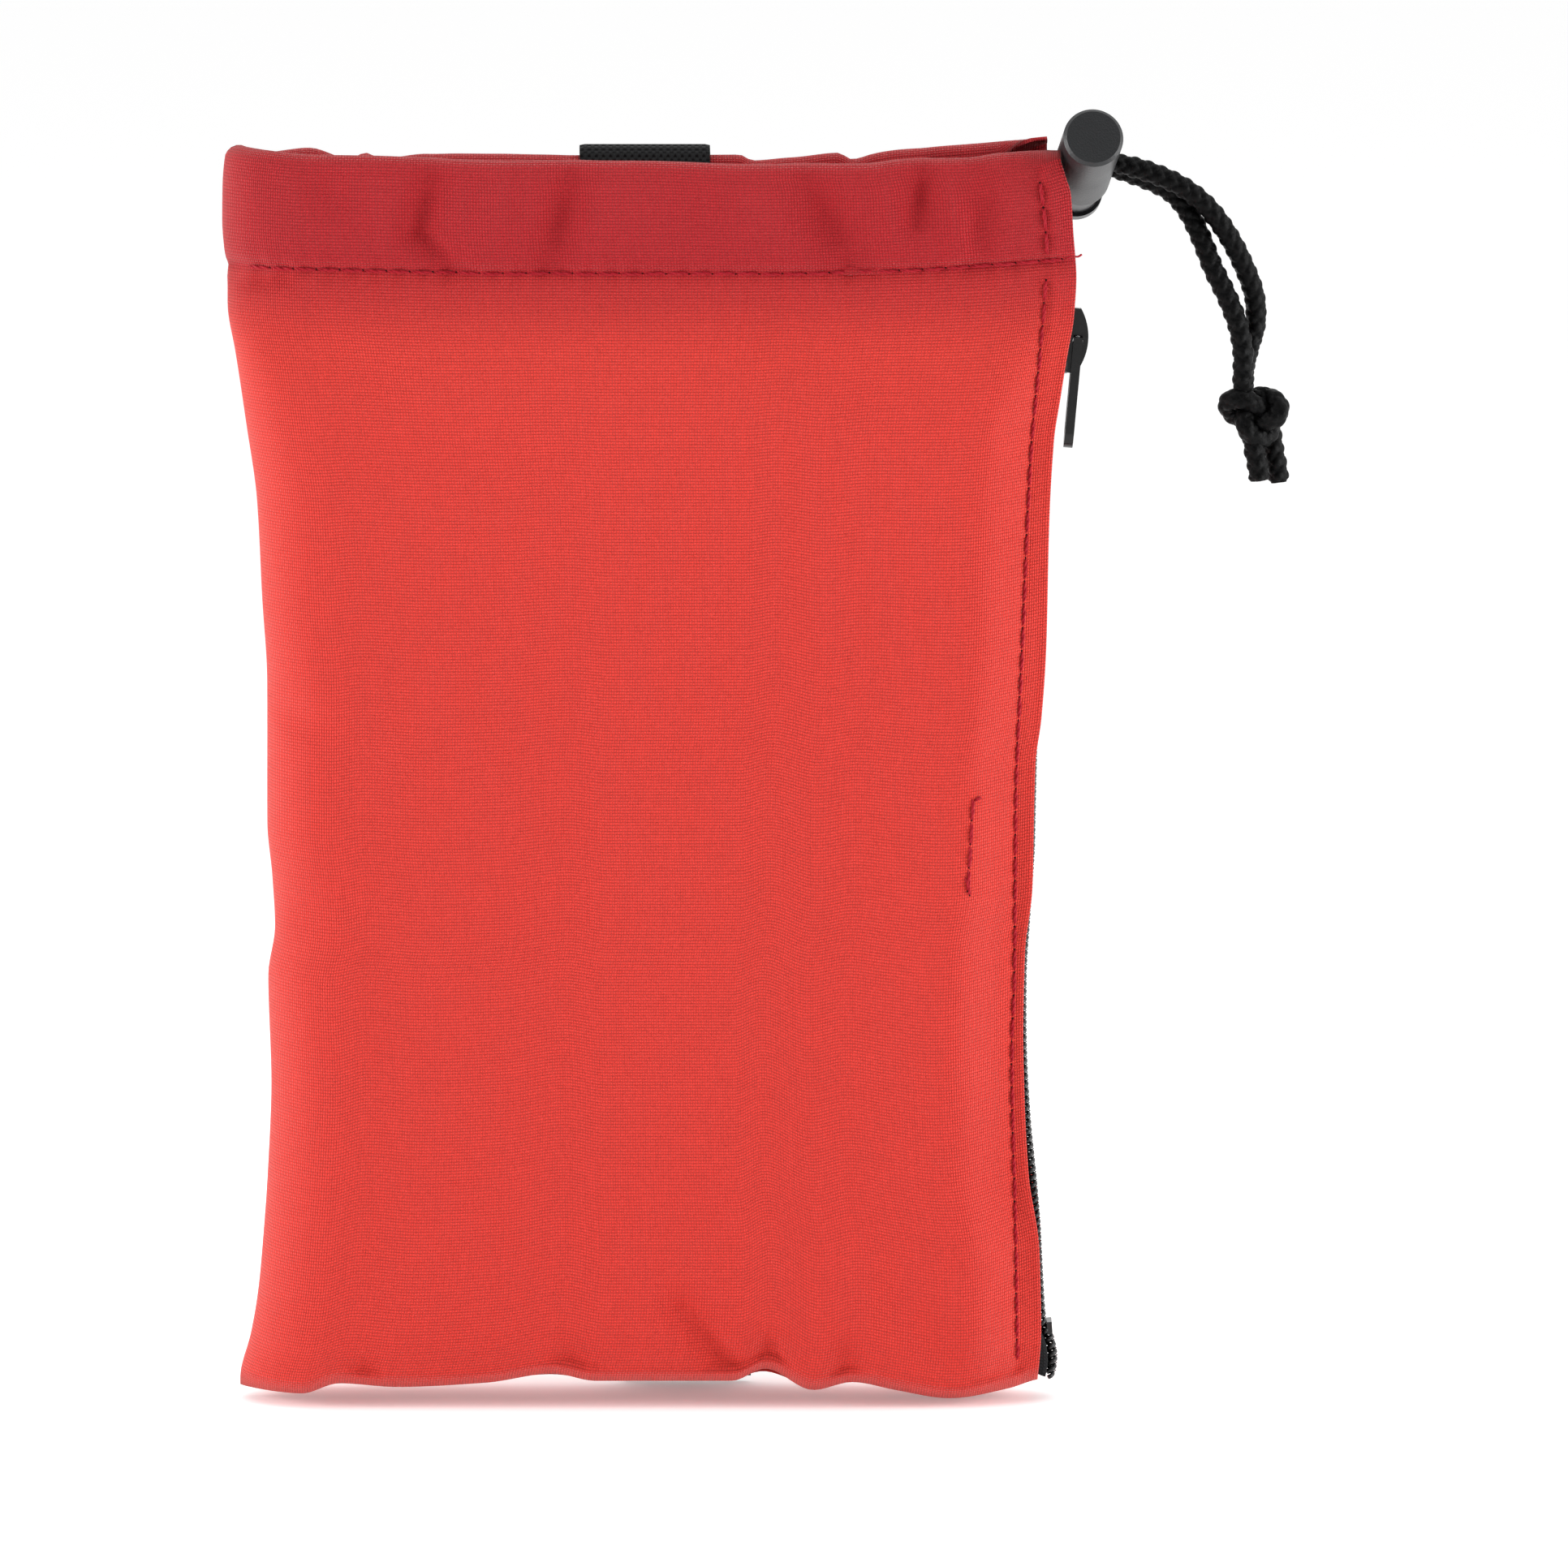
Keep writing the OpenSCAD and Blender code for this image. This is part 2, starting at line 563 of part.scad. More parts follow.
// A box of thread across the strap
module strap_box(y, z0, z1) {
    for (z = [z0, z1], i = [0:4]) {
        x = strap_x(z) - 7.6 + i * 3;
        thread([x, y, z], [x + 2.4, y, z]);
    }
}
module strap_stitching_top() {
    color("firebrick") strap_box(hem_half + strap_gap + strap_t + thread_off, hem_z + 5, fold_z - 1);
}
module strap_stitching_bottom() {
    color("firebrick") strap_box(body_half + 0.1 + strap_t + thread_off, 4, 5.4);
}

// ---- Drawcord ----

// Half of the cord's run in the hem, through the same columns as the cloth round it
function hem_cord(side, from) =
    let (last = column_at(upper_route[0].x + tail_shift.x, cord_z, side))
    [for (k = concat([for (i = [from:floor(last - 0.2)]) i], [last]))
        wall_point(k, cord_z, side, fold_r, cord_z)];
function flipped(v) = [for (i = [len(v) - 1:-1:0]) v[i]];
module drawcord_in_hem() {
    color("black") tube(concat(flipped(hem_cord(-1, 0)), hem_cord(1, 1)), cord_d, [0, 0, 1]);
}
module cord_tail_upper() {
    color("black") tube([for (p = upper_route) p + tail_shift], cord_d, [0, 1, 0]);
}
module cord_tail_lower() {
    color("black") tube([for (p = lower_route) p + tail_shift], cord_d, [0, 1, 0]);
}
module cord_knot() {
    color("black") translate(knot_at + tail_shift) hull() {
        translate([-1.3, 0, 0.4]) sphere(r = knot_r, $fn = hull_fn);
        translate([1.3, 0, -0.4]) sphere(r = knot_r, $fn = hull_fn);
    }
}
module cord_ends() {
    color("black") for (r = end_routes) tube([for (p = r) p + tail_shift], cord_d, [0, 1, 0]);
}

// ---- Cord lock ----

module in_lock() {
    translate(lock_at) rotate([0, 0, lock_yaw]) rotate([-90 - lock_tilt, 0, 0]) children();
}
// A slot across the lock for the two strands, from s0 to s1 along it
module cord_slot(s0, s1, w) {
    rotate([0, 90, 0]) linear_extrude(lock_d + 2, center = true) {
        translate([-s1 + w / 2, -w / 2]) square([s1 - s0 - w, w]);
        for (s = [s0 + w / 2, s1 - w / 2]) translate([-s, 0]) circle(d = w, $fn = round_fn);
    }
}
module lock_barrel() {
    color("dimgray") in_lock() difference() {
        rotate_extrude($fn = 96) polygon([
            [0, 0], [lock_d / 2 - 0.5, 0], [lock_d / 2, 0.5], [lock_d / 2, lock_l],
            [lock_bore_r, lock_l], [lock_bore_r, lock_cap], [0, lock_cap]]);
        cord_slot(barrel_slot0, barrel_slot1, cord_slot_w);
    }
}
module lock_plunger() {
    color("black") in_lock() difference() {
        rotate_extrude($fn = 96) polygon([
            [spring_r + 0.5, plunger_in - 3], [plunger_r, plunger_in - 3],
            [plunger_r, plunger_end - 2], [lock_d / 2 - 0.35, plunger_end - 2],
            [lock_d / 2 - 0.35, plunger_end - 0.4], [lock_d / 2 - 0.75, plunger_end],
            [0, plunger_end], [0, plunger_in], [spring_r + 0.5, plunger_in]]);
        cord_slot(plunger_slot0, plunger_slot1, cord_slot_w);
    }
}
// The spring's coils, drawn as rings between the cap and the plunger
module lock_spring() {
    free = plunger_in - lock_cap - spring_wire;
    color("silver") in_lock() for (i = [0:spring_turns])
        translate([0, 0, lock_cap + spring_wire / 2 + 0.05 + i * (free - 0.1) / spring_turns])
            rotate_extrude($fn = 64) translate([spring_r, 0]) circle(d = spring_wire, $fn = 16);
}

front_panel();
back_panel();
fire_blanket();
blanket_pull_tab_left();
blanket_pull_tab_right();
hem_stitching_front();
hem_stitching_back();
hem_end_stitching();
zip_stitching_front();
zip_stitching_back();
inner_tab();
inner_tab_stitching();
zip_tape_front();
zip_tape_back();
zip_coil_front();
zip_coil_back();
zip_top_stop();
zip_bottom_stop();
zip_slider();
zip_pull();
back_strap();
strap_stitching_top();
strap_stitching_bottom();
drawcord_in_hem();
cord_tail_upper();
cord_tail_lower();
cord_knot();
cord_ends();
lock_barrel();
lock_plunger();
lock_spring();
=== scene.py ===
import logging
import math
from dataclasses import dataclass, field
from enum import Enum
from typing import Any, Callable, Iterable, Sequence

import bpy
import numpy as np
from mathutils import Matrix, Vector
from mathutils.bvhtree import BVHTree


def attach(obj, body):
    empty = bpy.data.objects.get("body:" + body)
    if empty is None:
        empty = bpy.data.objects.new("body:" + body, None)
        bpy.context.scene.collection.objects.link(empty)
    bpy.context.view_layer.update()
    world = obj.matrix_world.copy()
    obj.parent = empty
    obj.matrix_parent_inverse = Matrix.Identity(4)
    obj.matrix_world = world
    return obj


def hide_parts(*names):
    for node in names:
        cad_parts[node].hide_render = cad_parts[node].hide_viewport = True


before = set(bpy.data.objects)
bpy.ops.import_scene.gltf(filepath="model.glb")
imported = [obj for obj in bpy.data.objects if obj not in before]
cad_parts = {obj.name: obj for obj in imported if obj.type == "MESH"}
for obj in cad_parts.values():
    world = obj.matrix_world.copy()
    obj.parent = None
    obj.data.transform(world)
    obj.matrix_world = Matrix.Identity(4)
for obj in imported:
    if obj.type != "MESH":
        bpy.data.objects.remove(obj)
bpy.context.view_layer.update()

LOG = logging.getLogger("fire_blanket")
MM = 0.001
Point = tuple[float, float, float]
Profile = Callable[[Any], Any]


# ---------------------------------------------------------------- numbers and curves


def smooth(t: Any) -> Any:
    """Ease from 0 to 1 as t goes from 0 to 1."""
    c = np.clip(t, 0.0, 1.0)
    return c * c * (3 - 2 * c)


def mix(a: Any, b: Any, t: Any) -> Any:
    """Blend from a to b."""
    return a + (b - a) * t


def profile(*knots: tuple[float, float]) -> Profile:
    """Make a smooth curve through given sizes.

    Args:
        knots: pairs of place and value, in order of place, in millimetres.

    Returns:
        A function of place that doesn't overshoot its knots.
    """
    x, y = np.array(knots, float).T
    step, slope = np.diff(x), np.diff(y) / np.diff(x)
    flat = slope[:-1] * slope[1:] <= 0
    inner = np.where(flat, 0.0, 2 * slope[:-1] * slope[1:] / np.where(flat, 1.0, slope[:-1] + slope[1:]))
    tangent = np.concatenate([[slope[0]], inner, [slope[-1]]])

    def at(place: Any) -> Any:
        """Give the curve's value at a place."""
        p = np.clip(place, x[0], x[-1])
        i = np.clip(np.searchsorted(x, p, side="right") - 1, 0, len(x) - 2)
        t = (p - x[i]) / step[i]
        a, b = tangent[i] * step[i], tangent[i + 1] * step[i]
        return y[i] + t * a + t**2 * (3 * (y[i + 1] - y[i]) - 2 * a - b) + t**3 * (
            2 * (y[i] - y[i + 1]) + a + b
        )

    return at


def spline(points: Sequence[Point], spacing: float) -> np.ndarray:
    """Lay even points on a smooth line.

    Args:
        points: the points that the line passes through.
        spacing: the distance between the points that are given back.

    Returns:
        The points of the line, as an array of rows.
    """
    p = np.array(points, float)
    p = np.vstack([2 * p[0] - p[1], p, 2 * p[-1] - p[-2]])
    fine = []
    for i in range(1, len(p) - 2):
        for t in np.linspace(0, 1, 16, endpoint=False):
            a, b, c, d = p[i - 1 : i + 3]
            bend = (2 * a - 5 * b + 4 * c - d) * t**2 + (3 * b - a - 3 * c + d) * t**3
            fine.append(0.5 * (2 * b + (c - a) * t + bend))
    fine.append(p[-2])
    line = np.array(fine)
    along = distances(line)
    stops = np.linspace(0, along[-1], max(2, round(along[-1] / spacing) + 1))
    return np.stack([np.interp(stops, along, line[:, k]) for k in range(3)], axis=1)


def distances(line: np.ndarray) -> np.ndarray:
    """Measure along a line.

    Args:
        line: its points.

    Returns:
        How far along it each point lies.
    """
    return np.concatenate([[0], np.cumsum(np.linalg.norm(np.diff(line, axis=0), axis=1))])


def frames(line: np.ndarray, up: Point = (0.0, 1.0, 0.0)) -> tuple[np.ndarray, np.ndarray]:
    """Give two directions across a line at each of its points, without twist.

    Args:
        line: the points of the line.
        up: a direction that the first cross direction keeps near.

    Returns:
        Two arrays of unit vectors that are square to the line and to each other.
    """
    along = np.gradient(line, axis=0)
    along /= np.linalg.norm(along, axis=1)[:, None]
    u, last = np.zeros_like(line), np.array(up, float)
    for i, t in enumerate(along):
        last = last - t * float(last @ t)
        last /= np.linalg.norm(last)
        u[i] = last
    return u, np.cross(along, u)


# ---------------------------------------------------------------- meshes


def mesh_piece(
    name: str,
    points: np.ndarray,
    faces: Iterable[Sequence[int]],
    uv: np.ndarray | None = None,
    soft: bool = True,
) -> bpy.types.Object:
    """Make a mesh object from points in millimetres.

    Args:
        name: the piece's name.
        points: rows of x, y and z.
        faces: the point numbers of each face.
        uv: cloth coordinates of each point, in millimetres.
        soft: whether its faces are shaded smooth.

    Returns:
        The new object, linked to the scene.
    """
    mesh = bpy.data.meshes.new(name)
    mesh.from_pydata((np.asarray(points) * MM).tolist(), [], [tuple(f) for f in faces])
    if uv is not None:
        layer = mesh.uv_layers.new(name="cloth")
        corner = np.empty(len(mesh.loops), dtype=np.int64)
        mesh.loops.foreach_get("vertex_index", corner)
        layer.data.foreach_set("uv", (np.asarray(uv)[corner] * MM).ravel())
    mesh.polygons.foreach_set("use_smooth", [soft] * len(mesh.polygons))
    piece = bpy.data.objects.new(name, mesh)
    bpy.context.scene.collection.objects.link(piece)
    return piece


def grid_faces(
    rows: int, columns: int, ring: bool = False, flip: bool = False, start: int = 0
) -> list[tuple[int, ...]]:
    """Number the faces of a grid of points.

    Args:
        rows: how many rows of points there are.
        columns: how many points are in a row.
        ring: whether each row closes on itself.
        flip: whether the faces turn the other way.
        start: the number of the first point.

    Returns:
        Four point numbers for each face.
    """
    found = []
    for r in range(rows - 1):
        for c in range(columns if ring else columns - 1):
            d = (c + 1) % columns
            a, b = start + r * columns, start + (r + 1) * columns
            face = (a + c, a + d, b + d, b + c)
            found.append(face[::-1] if flip else face)
    return found


@dataclass
class Bundle:
    """Tubes that are gathered into one mesh.

    Attributes:
        points: the points so far, as arrays.
        faces: the faces so far.
        uvs: the cloth coordinates of the points.
        marks: the material number of each face.
    """

    points: list[np.ndarray] = field(default_factory=list)
    faces: list[tuple[int, ...]] = field(default_factory=list)
    uvs: list[np.ndarray] = field(default_factory=list)
    marks: list[int] = field(default_factory=list)

    def tube(
        self,
        line: np.ndarray,
        radius: Any,
        sides: int = 8,
        shape: Callable[[np.ndarray, np.ndarray], np.ndarray] | None = None,
        mark: int = 0,
        up: Point = (0.0, 1.0, 0.0),
    ) -> None:
        """Add a closed tube along a line.

        Args:
            line: the points that its middle follows, in millimetres.
            radius: its radius, or one radius for each point.
            sides: how many points go round it.
            shape: gives what to add to the radius from the angle and the length along.
            mark: the number of its material.
            up: a direction that its first side keeps near.
        """
        n, start = len(line), sum(len(p) for p in self.points)
        u, v = frames(line, up)
        angle = np.linspace(0, 2 * np.pi, sides, endpoint=False)
        along = distances(line)
        size = np.broadcast_to(np.asarray(radius, float), (n,))[:, None] + np.zeros((n, sides))
        if shape is not None:
            size = size + shape(angle[None, :], along[:, None])
        ring = line[:, None, :] + size[..., None] * (
            np.cos(angle)[None, :, None] * u[:, None, :] + np.sin(angle)[None, :, None] * v[:, None, :]
        )
        around = size.mean() * np.broadcast_to(angle, (n, sides))
        self.points += [ring.reshape(-1, 3), line[:1], line[-1:]]
        skin = np.stack([around, np.broadcast_to(along[:, None], (n, sides))], axis=2)
        self.uvs += [skin.reshape(-1, 2), np.zeros((2, 2))]
        first, last = start + n * sides, start + n * sides + 1
        added = grid_faces(n, sides, ring=True, start=start)
        added += [(first, start + (k + 1) % sides, start + k) for k in range(sides)]
        base = start + (n - 1) * sides
        added += [(last, base + k, base + (k + 1) % sides) for k in range(sides)]
        self.faces += added
        self.marks += [mark] * len(added)

    def grid(self, points: np.ndarray, uv: np.ndarray | None = None, flip: bool = False, mark: int = 0) -> None:
        """Add a sheet of points in rows.

        Args:
            points: an array of rows, columns and the three coordinates.
            uv: the cloth coordinates of each point.
            flip: whether the faces turn the other way.
            mark: the number of its material.
        """
        rows, columns = points.shape[:2]
        start = sum(len(p) for p in self.points)
        self.points.append(points.reshape(-1, 3))
        self.uvs.append(np.zeros((rows * columns, 2)) if uv is None else uv.reshape(-1, 2))
        added = grid_faces(rows, columns, flip=flip, start=start)
        self.faces += added
        self.marks += [mark] * len(added)

    def piece(self, name: str, soft: bool = True) -> bpy.types.Object:
        """Make the object.

        Args:
            name: the piece's name.
            soft: whether its faces are shaded smooth.

        Returns:
            The new object.
        """
        made = mesh_piece(name, np.vstack(self.points), self.faces, np.vstack(self.uvs), soft)
        made.data.polygons.foreach_set("material_index", self.marks)
        return made


def thicken(piece: bpy.types.Object, thickness: float, offset: float = -1.0) -> None:
    """Give a sheet its thickness.

    Args:
        piece: the sheet.
        thickness: its thickness in millimetres.
        offset: -1 to add it behind the faces, 1 in front of them.
    """
    m = piece.modifiers.new("thickness", "SOLIDIFY")
    m.thickness, m.offset, m.use_rim = thickness * MM, offset, True


class Body(Enum):
    """The bodies that the pieces ride on."""

    POUCH = "pouch"
    SLIDER = "slider"
    PULL = "pull"
    LOCK = "lock"
    PLUNGER = "plunger"


def settle(
    piece: bpy.types.Object,
    finishes: Sequence["Finish"],
    replaces: Sequence[str] = (),
    body: Body = Body.POUCH,
) -> bpy.types.Object:
    """Dress a piece and say what it belongs to.

    Args:
        piece: the new piece.
        finishes: its materials, in the order of their numbers.
        replaces: the CAD nodes that it stands for.
        body: the body that it rides on.

    Returns:
        The same piece.
    """
    for finish in finishes:
        piece.data.materials.append(finish.material())
    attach(piece, body.value)
    if replaces:
        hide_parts(*replaces)
    LOG.info("piece %s: %d points", piece.name, len(piece.data.vertices))
    return piece


# ---------------------------------------------------------------- finishes


def linear(code: str) -> tuple[float, float, float, float]:
    """Turn an sRGB hex colour into a linear one.

    Args:
        code: the colour, such as "#D8322B".

    Returns:
        Its red, green, blue and alpha.
    """
    parts = [int(code[i : i + 2], 16) / 255 for i in (1, 3, 5)]
    return (*[c / 12.92 if c <= 0.04045 else ((c + 0.055) / 1.055) ** 2.4 for c in parts], 1.0)


def add_node(
    tree: bpy.types.NodeTree,
    kind: str,
    inputs: dict[Any, Any] | None = None,
    **settings: Any,
) -> bpy.types.Node:
    """Add a node with its settings and links.

    Args:
        tree: the material's tree.
        kind: the node's type.
        inputs: for each input, a value or the socket that it is linked to.
        settings: the node's own settings.

    Returns:
        The new node.
    """
    node = tree.nodes.new(kind)
    for name, value in settings.items():
        setattr(node, name, value)
    for key, value in (inputs or {}).items():
        if isinstance(value, bpy.types.NodeSocket):
            tree.links.new(value, node.inputs[key])
        else:
            node.inputs[key].default_value = value
    return node


class Finish:
    """A finish that makes its material once."""

    name: str

    def material(self) -> bpy.types.Material:
        """Give the material, and make it on the first call."""
        known = bpy.data.materials.get(self.name)
        if known is not None:
            return known
        made = bpy.data.materials.new(self.name)
        made.use_nodes = True
        tree = made.node_tree
        shader = next(n for n in tree.nodes if n.type == "BSDF_PRINCIPLED")
        self.build(tree, shader)
        return made

    def build(self, tree: bpy.types.NodeTree, shader: bpy.types.Node) -> None:
        """Fill the material's tree.

        Args:
            tree: the tree, with its output.
            shader: its Principled shader.
        """
        raise NotImplementedError


def maths(tree: bpy.types.NodeTree, operation: str, a: Any, b: Any = 0.0, c: Any = 0.0) -> bpy.types.NodeSocket:
    """Add one step of arithmetic and give its result.

    Args:
        tree: the material's tree.
        operation: the name of the step.
        a: the first number or socket.
        b: the second number or socket.
        c: the third number or socket.

    Returns:
        The result's socket.
    """
    return add_node(tree, "ShaderNodeMath", {0: a, 1: b, 2: c}, operation=operation).outputs[0]


def blend(tree: bpy.types.NodeTree, share: Any, low: str, high: str) -> bpy.types.NodeSocket:
    """Mix two colours.

    Args:
        tree: the material's tree.
        share: how much of the second one to take.
        low: the first colour.
        high: the second colour.

    Returns:
        The mixed colour's socket.
    """
    sockets = {0: share, 6: linear(low), 7: linear(high)}
    return add_node(tree, "ShaderNodeMix", sockets, data_type="RGBA").outputs[2]


def noise(tree: bpy.types.NodeTree, size: float, detail: float) -> bpy.types.NodeSocket:
    """Make random unevenness all through the object.

    Args:
        tree: the material's tree.
        size: the size of its spots in millimetres.
        detail: how many finer layers lie on them.

    Returns:
        Its socket.
    """
    place = add_node(tree, "ShaderNodeTexCoord").outputs["Object"]
    sockets = {"Vector": place, "Scale": 1 / (size * MM), "Detail": detail}
    return add_node(tree, "ShaderNodeTexNoise", sockets).outputs[0]


def raise_up(
    tree: bpy.types.NodeTree, height: Any, depth: float, strength: float = 1.0
) -> bpy.types.NodeSocket:
    """Turn a height into relief.

    Args:
        tree: the material's tree.
        height: the height's socket.
        depth: how far it stands up in millimetres.
        strength: how much of it shows.

    Returns:
        The socket for the shader's normal.
    """
    sockets = {"Height": height, "Distance": depth * MM, "Strength": strength}
    return add_node(tree, "ShaderNodeBump", sockets).outputs[0]


def cloth_axes(tree: bpy.types.NodeTree, across: float, along: float) -> tuple[Any, Any, Any]:
    """Count threads over the cloth.

    Args:
        tree: the material's tree.
        across: the width of one thread in millimetres.
        along: the height of one thread in millimetres.

    Returns:
        The sockets that count threads across and along, and that of the flat coordinate.
    """
    flat = add_node(tree, "ShaderNodeUVMap", uv_map="cloth").outputs["UV"]
    parts = add_node(tree, "ShaderNodeSeparateXYZ", {0: flat})
    return (
        maths(tree, "DIVIDE", parts.outputs[0], across * MM),
        maths(tree, "DIVIDE", parts.outputs[1], along * MM),
        flat,
    )


@dataclass(frozen=True)
class PlainWeave(Finish):
    """Plain weave cloth: each thread passes over one and under the next.

    Attributes:
        name: the material's name.
        colour: the top of the threads.
        backed_colour: the tops where something pale lies behind the single cloth.
        gap_shade: how bright the gaps between the threads are under their painted shade, against their tops.
        across: the width of one warp thread in millimetres.
        along: the height of one weft thread in millimetres.
        relief: how far the threads stand up, in millimetres.
        roughness: how matt the threads are.
        sheen: how much fibre sheen shows at the edges.
        mottle: how much the threads differ from each other.
        gloss: how much the threads reflect, against plain plastic's 0.5.
        warp_shade: how bright the upright threads are under their painted shade, against the level ones.
    """

    name: str
    colour: str
    backed_colour: str
    gap_shade: float
    across: float
    along: float
    relief: float
    roughness: float
    sheen: float
    mottle: float = 0.3
    gloss: float = 0.2
    warp_shade: float = 1.0

    def build(self, tree: bpy.types.NodeTree, shader: bpy.types.Node) -> None:
        """Fill the material's tree.

        Args:
            tree: the tree, with its output.
            shader: its Principled shader.
        """
        u, v, flat = cloth_axes(tree, self.across, self.along)
        wave_u = maths(tree, "SINE", maths(tree, "MULTIPLY", u, math.pi))
        wave_v = maths(tree, "SINE", maths(tree, "MULTIPLY", v, math.pi))
        over = maths(tree, "GREATER_THAN", maths(tree, "MULTIPLY", wave_u, wave_v), 0.0)
        round_u, round_v = maths(tree, "ABSOLUTE", wave_u), maths(tree, "ABSOLUTE", wave_v)
        warp = maths(tree, "MULTIPLY", round_u, maths(tree, "POWER", round_v, 0.45))
        weft = maths(tree, "MULTIPLY", maths(tree, "POWER", round_u, 0.45), round_v)
        height = add_node(tree, "ShaderNodeMix", {0: over, 2: weft, 3: warp}).outputs[0]
        # Threads differ a little in thickness and shade along their length
        streak = add_node(tree, "ShaderNodeMapping", {0: flat, 3: (1 / (0.8 * MM), 1 / (9 * MM), 1)})
        slub = add_node(
            tree, "ShaderNodeTexNoise", {"Vector": streak.outputs[0], "Scale": 1.0, "Detail": 2.0}
        )
        streak2 = add_node(tree, "ShaderNodeMapping", {0: flat, 3: (1 / (7 * MM), 1 / (0.9 * MM), 1)})
        slub2 = add_node(
            tree, "ShaderNodeTexNoise", {"Vector": streak2.outputs[0], "Scale": 1.0, "Detail": 2.0}
        )
        both = maths(tree, "ADD", slub.outputs[0], slub2.outputs[0])
        # Painted shade: the upright threads are darkened against the level ones, standing in for how each
        # catches the light
        thread = maths(tree, "MULTIPLY_ADD", over, self.warp_shade - 1, 1.0)
        shade = maths(tree, "MULTIPLY_ADD", maths(tree, "SUBTRACT", both, 1.0), self.mottle, thread)
        backed = add_node(tree, "ShaderNodeAttribute", attribute_name="backed").outputs["Fac"]
        top = blend(tree, backed, self.colour, self.backed_colour)
        # Painted shade: the base colour darkens in the gaps between the threads
        lit = maths(tree, "MULTIPLY_ADD", maths(tree, "POWER", height, 0.6), 1 - self.gap_shade, self.gap_shade)
        strength = maths(tree, "MULTIPLY", lit, shade)
        tint = add_node(tree, "ShaderNodeVectorMath", {0: top, "Scale": strength}, operation="SCALE")
        bump = raise_up(tree, height, self.relief)
        tree.links.new(tint.outputs[0], shader.inputs["Base Color"])
        tree.links.new(bump, shader.inputs["Normal"])
        shader.inputs["Roughness"].default_value = self.roughness
        shader.inputs["Sheen Weight"].default_value = self.sheen
        shader.inputs["Sheen Roughness"].default_value = 0.3
        shader.inputs["Specular IOR Level"].default_value = self.gloss
        shader.inputs["Sheen Tint"].default_value = linear("#FFE3DC")


@dataclass(frozen=True)
class RibbedTape(Finish):
    """Narrow woven tape whose thick weft makes ribs across it.

    Attributes:
        name: the material's name.
        colour: the top of the ribs.
        groove_shade_colour: the painted shade in the grooves between them.
        rib: the spacing of the ribs in millimetres.
        thread: the width of one warp thread in millimetres.
        relief: the height of the ribs in millimetres.
        roughness: how matt the threads are.
    """

    name: str
    colour: str
    groove_shade_colour: str
    rib: float
    thread: float
    relief: float
    roughness: float

    def build(self, tree: bpy.types.NodeTree, shader: bpy.types.Node) -> None:
        """Fill the material's tree.

        Args:
            tree: the tree, with its output.
            shader: its Principled shader.
        """
        u, v, _ = cloth_axes(tree, self.thread, self.rib)
        wave_u = maths(tree, "SINE", maths(tree, "MULTIPLY", u, math.pi))
        # Each warp thread goes over every second rib, and its neighbour over the others
        half = maths(tree, "MULTIPLY", maths(tree, "FLOOR", u), 0.5)
        wave_v = maths(tree, "SINE", maths(tree, "MULTIPLY", maths(tree, "ADD", v, half), math.pi))
        across = maths(tree, "POWER", maths(tree, "ABSOLUTE", wave_u), 0.5)
        height = maths(tree, "MULTIPLY", maths(tree, "ABSOLUTE", wave_v), across)
        # Painted shade: the base colour darkens in the grooves between the ribs
        seen = blend(tree, height, self.groove_shade_colour, self.colour)
        bump = raise_up(tree, height, self.relief)
        tree.links.new(seen, shader.inputs["Base Color"])
        tree.links.new(bump, shader.inputs["Normal"])
        shader.inputs["Roughness"].default_value = self.roughness
        shader.inputs["Specular IOR Level"].default_value = 0.15


@dataclass(frozen=True)
class SpunThread(Finish):
    """Twisted or braided yarn whose fibres run along it.

    Attributes:
        name: the material's name.
        colour: the fibres' colour.
        fibre_shade_colour: the painted shade deep between the fibres.
        fibre: the spacing of the fibre bundles in millimetres.
        roughness: how matt the fibres are.
        sheen: how much fuzz catches the light.
        gloss: how much the fibres reflect, against plain plastic's 0.5.
    """

    name: str
    colour: str
    fibre_shade_colour: str
    fibre: float
    roughness: float
    sheen: float
    gloss: float = 0.2

    def build(self, tree: bpy.types.NodeTree, shader: bpy.types.Node) -> None:
        """Fill the material's tree.

        Args:
            tree: the tree, with its output.
            shader: its Principled shader.
        """
        fuzz = noise(tree, self.fibre, 3.0)
        # Painted shade: the base colour darkens where the fibres lie deep
        seen = blend(tree, fuzz, self.fibre_shade_colour, self.colour)
        bump = raise_up(tree, fuzz, 0.12, 0.7)
        tree.links.new(seen, shader.inputs["Base Color"])
        tree.links.new(bump, shader.inputs["Normal"])
        shader.inputs["Roughness"].default_value = self.roughness
        shader.inputs["Sheen Weight"].default_value = self.sheen
        shader.inputs["Specular IOR Level"].default_value = self.gloss


@dataclass(frozen=True)
class GrainedPlastic(Finish):
    """Moulded plastic with the fine grain of an etched mould.

    Attributes:
        name: the material's name.
        colour: the plastic's colour.
        grain: the width of one grain in millimetres.
        depth: the depth of the grain in millimetres.
        roughness: the roughness between the grains.
        spread: how much the roughness varies from place to place.
    """

    name: str
    colour: str
    grain: float
    depth: float
    roughness: float
    spread: float = 0.12

    def build(self, tree: bpy.types.NodeTree, shader: bpy.types.Node) -> None:
        """Fill the material's tree.

        Args:
            tree: the tree, with its output.
            shader: its Principled shader.
        """
        grain = noise(tree, self.grain, 2.0)
        wear = noise(tree, 6.0, 3.0)
        rough = maths(tree, "MULTIPLY_ADD", wear, self.spread, self.roughness - self.spread / 2)
        bump = raise_up(tree, grain, self.depth)
        shader.inputs["Base Color"].default_value = linear(self.colour)
        tree.links.new(rough, shader.inputs["Roughness"])
        tree.links.new(bump, shader.inputs["Normal"])
        shader.inputs["IOR"].default_value = 1.49


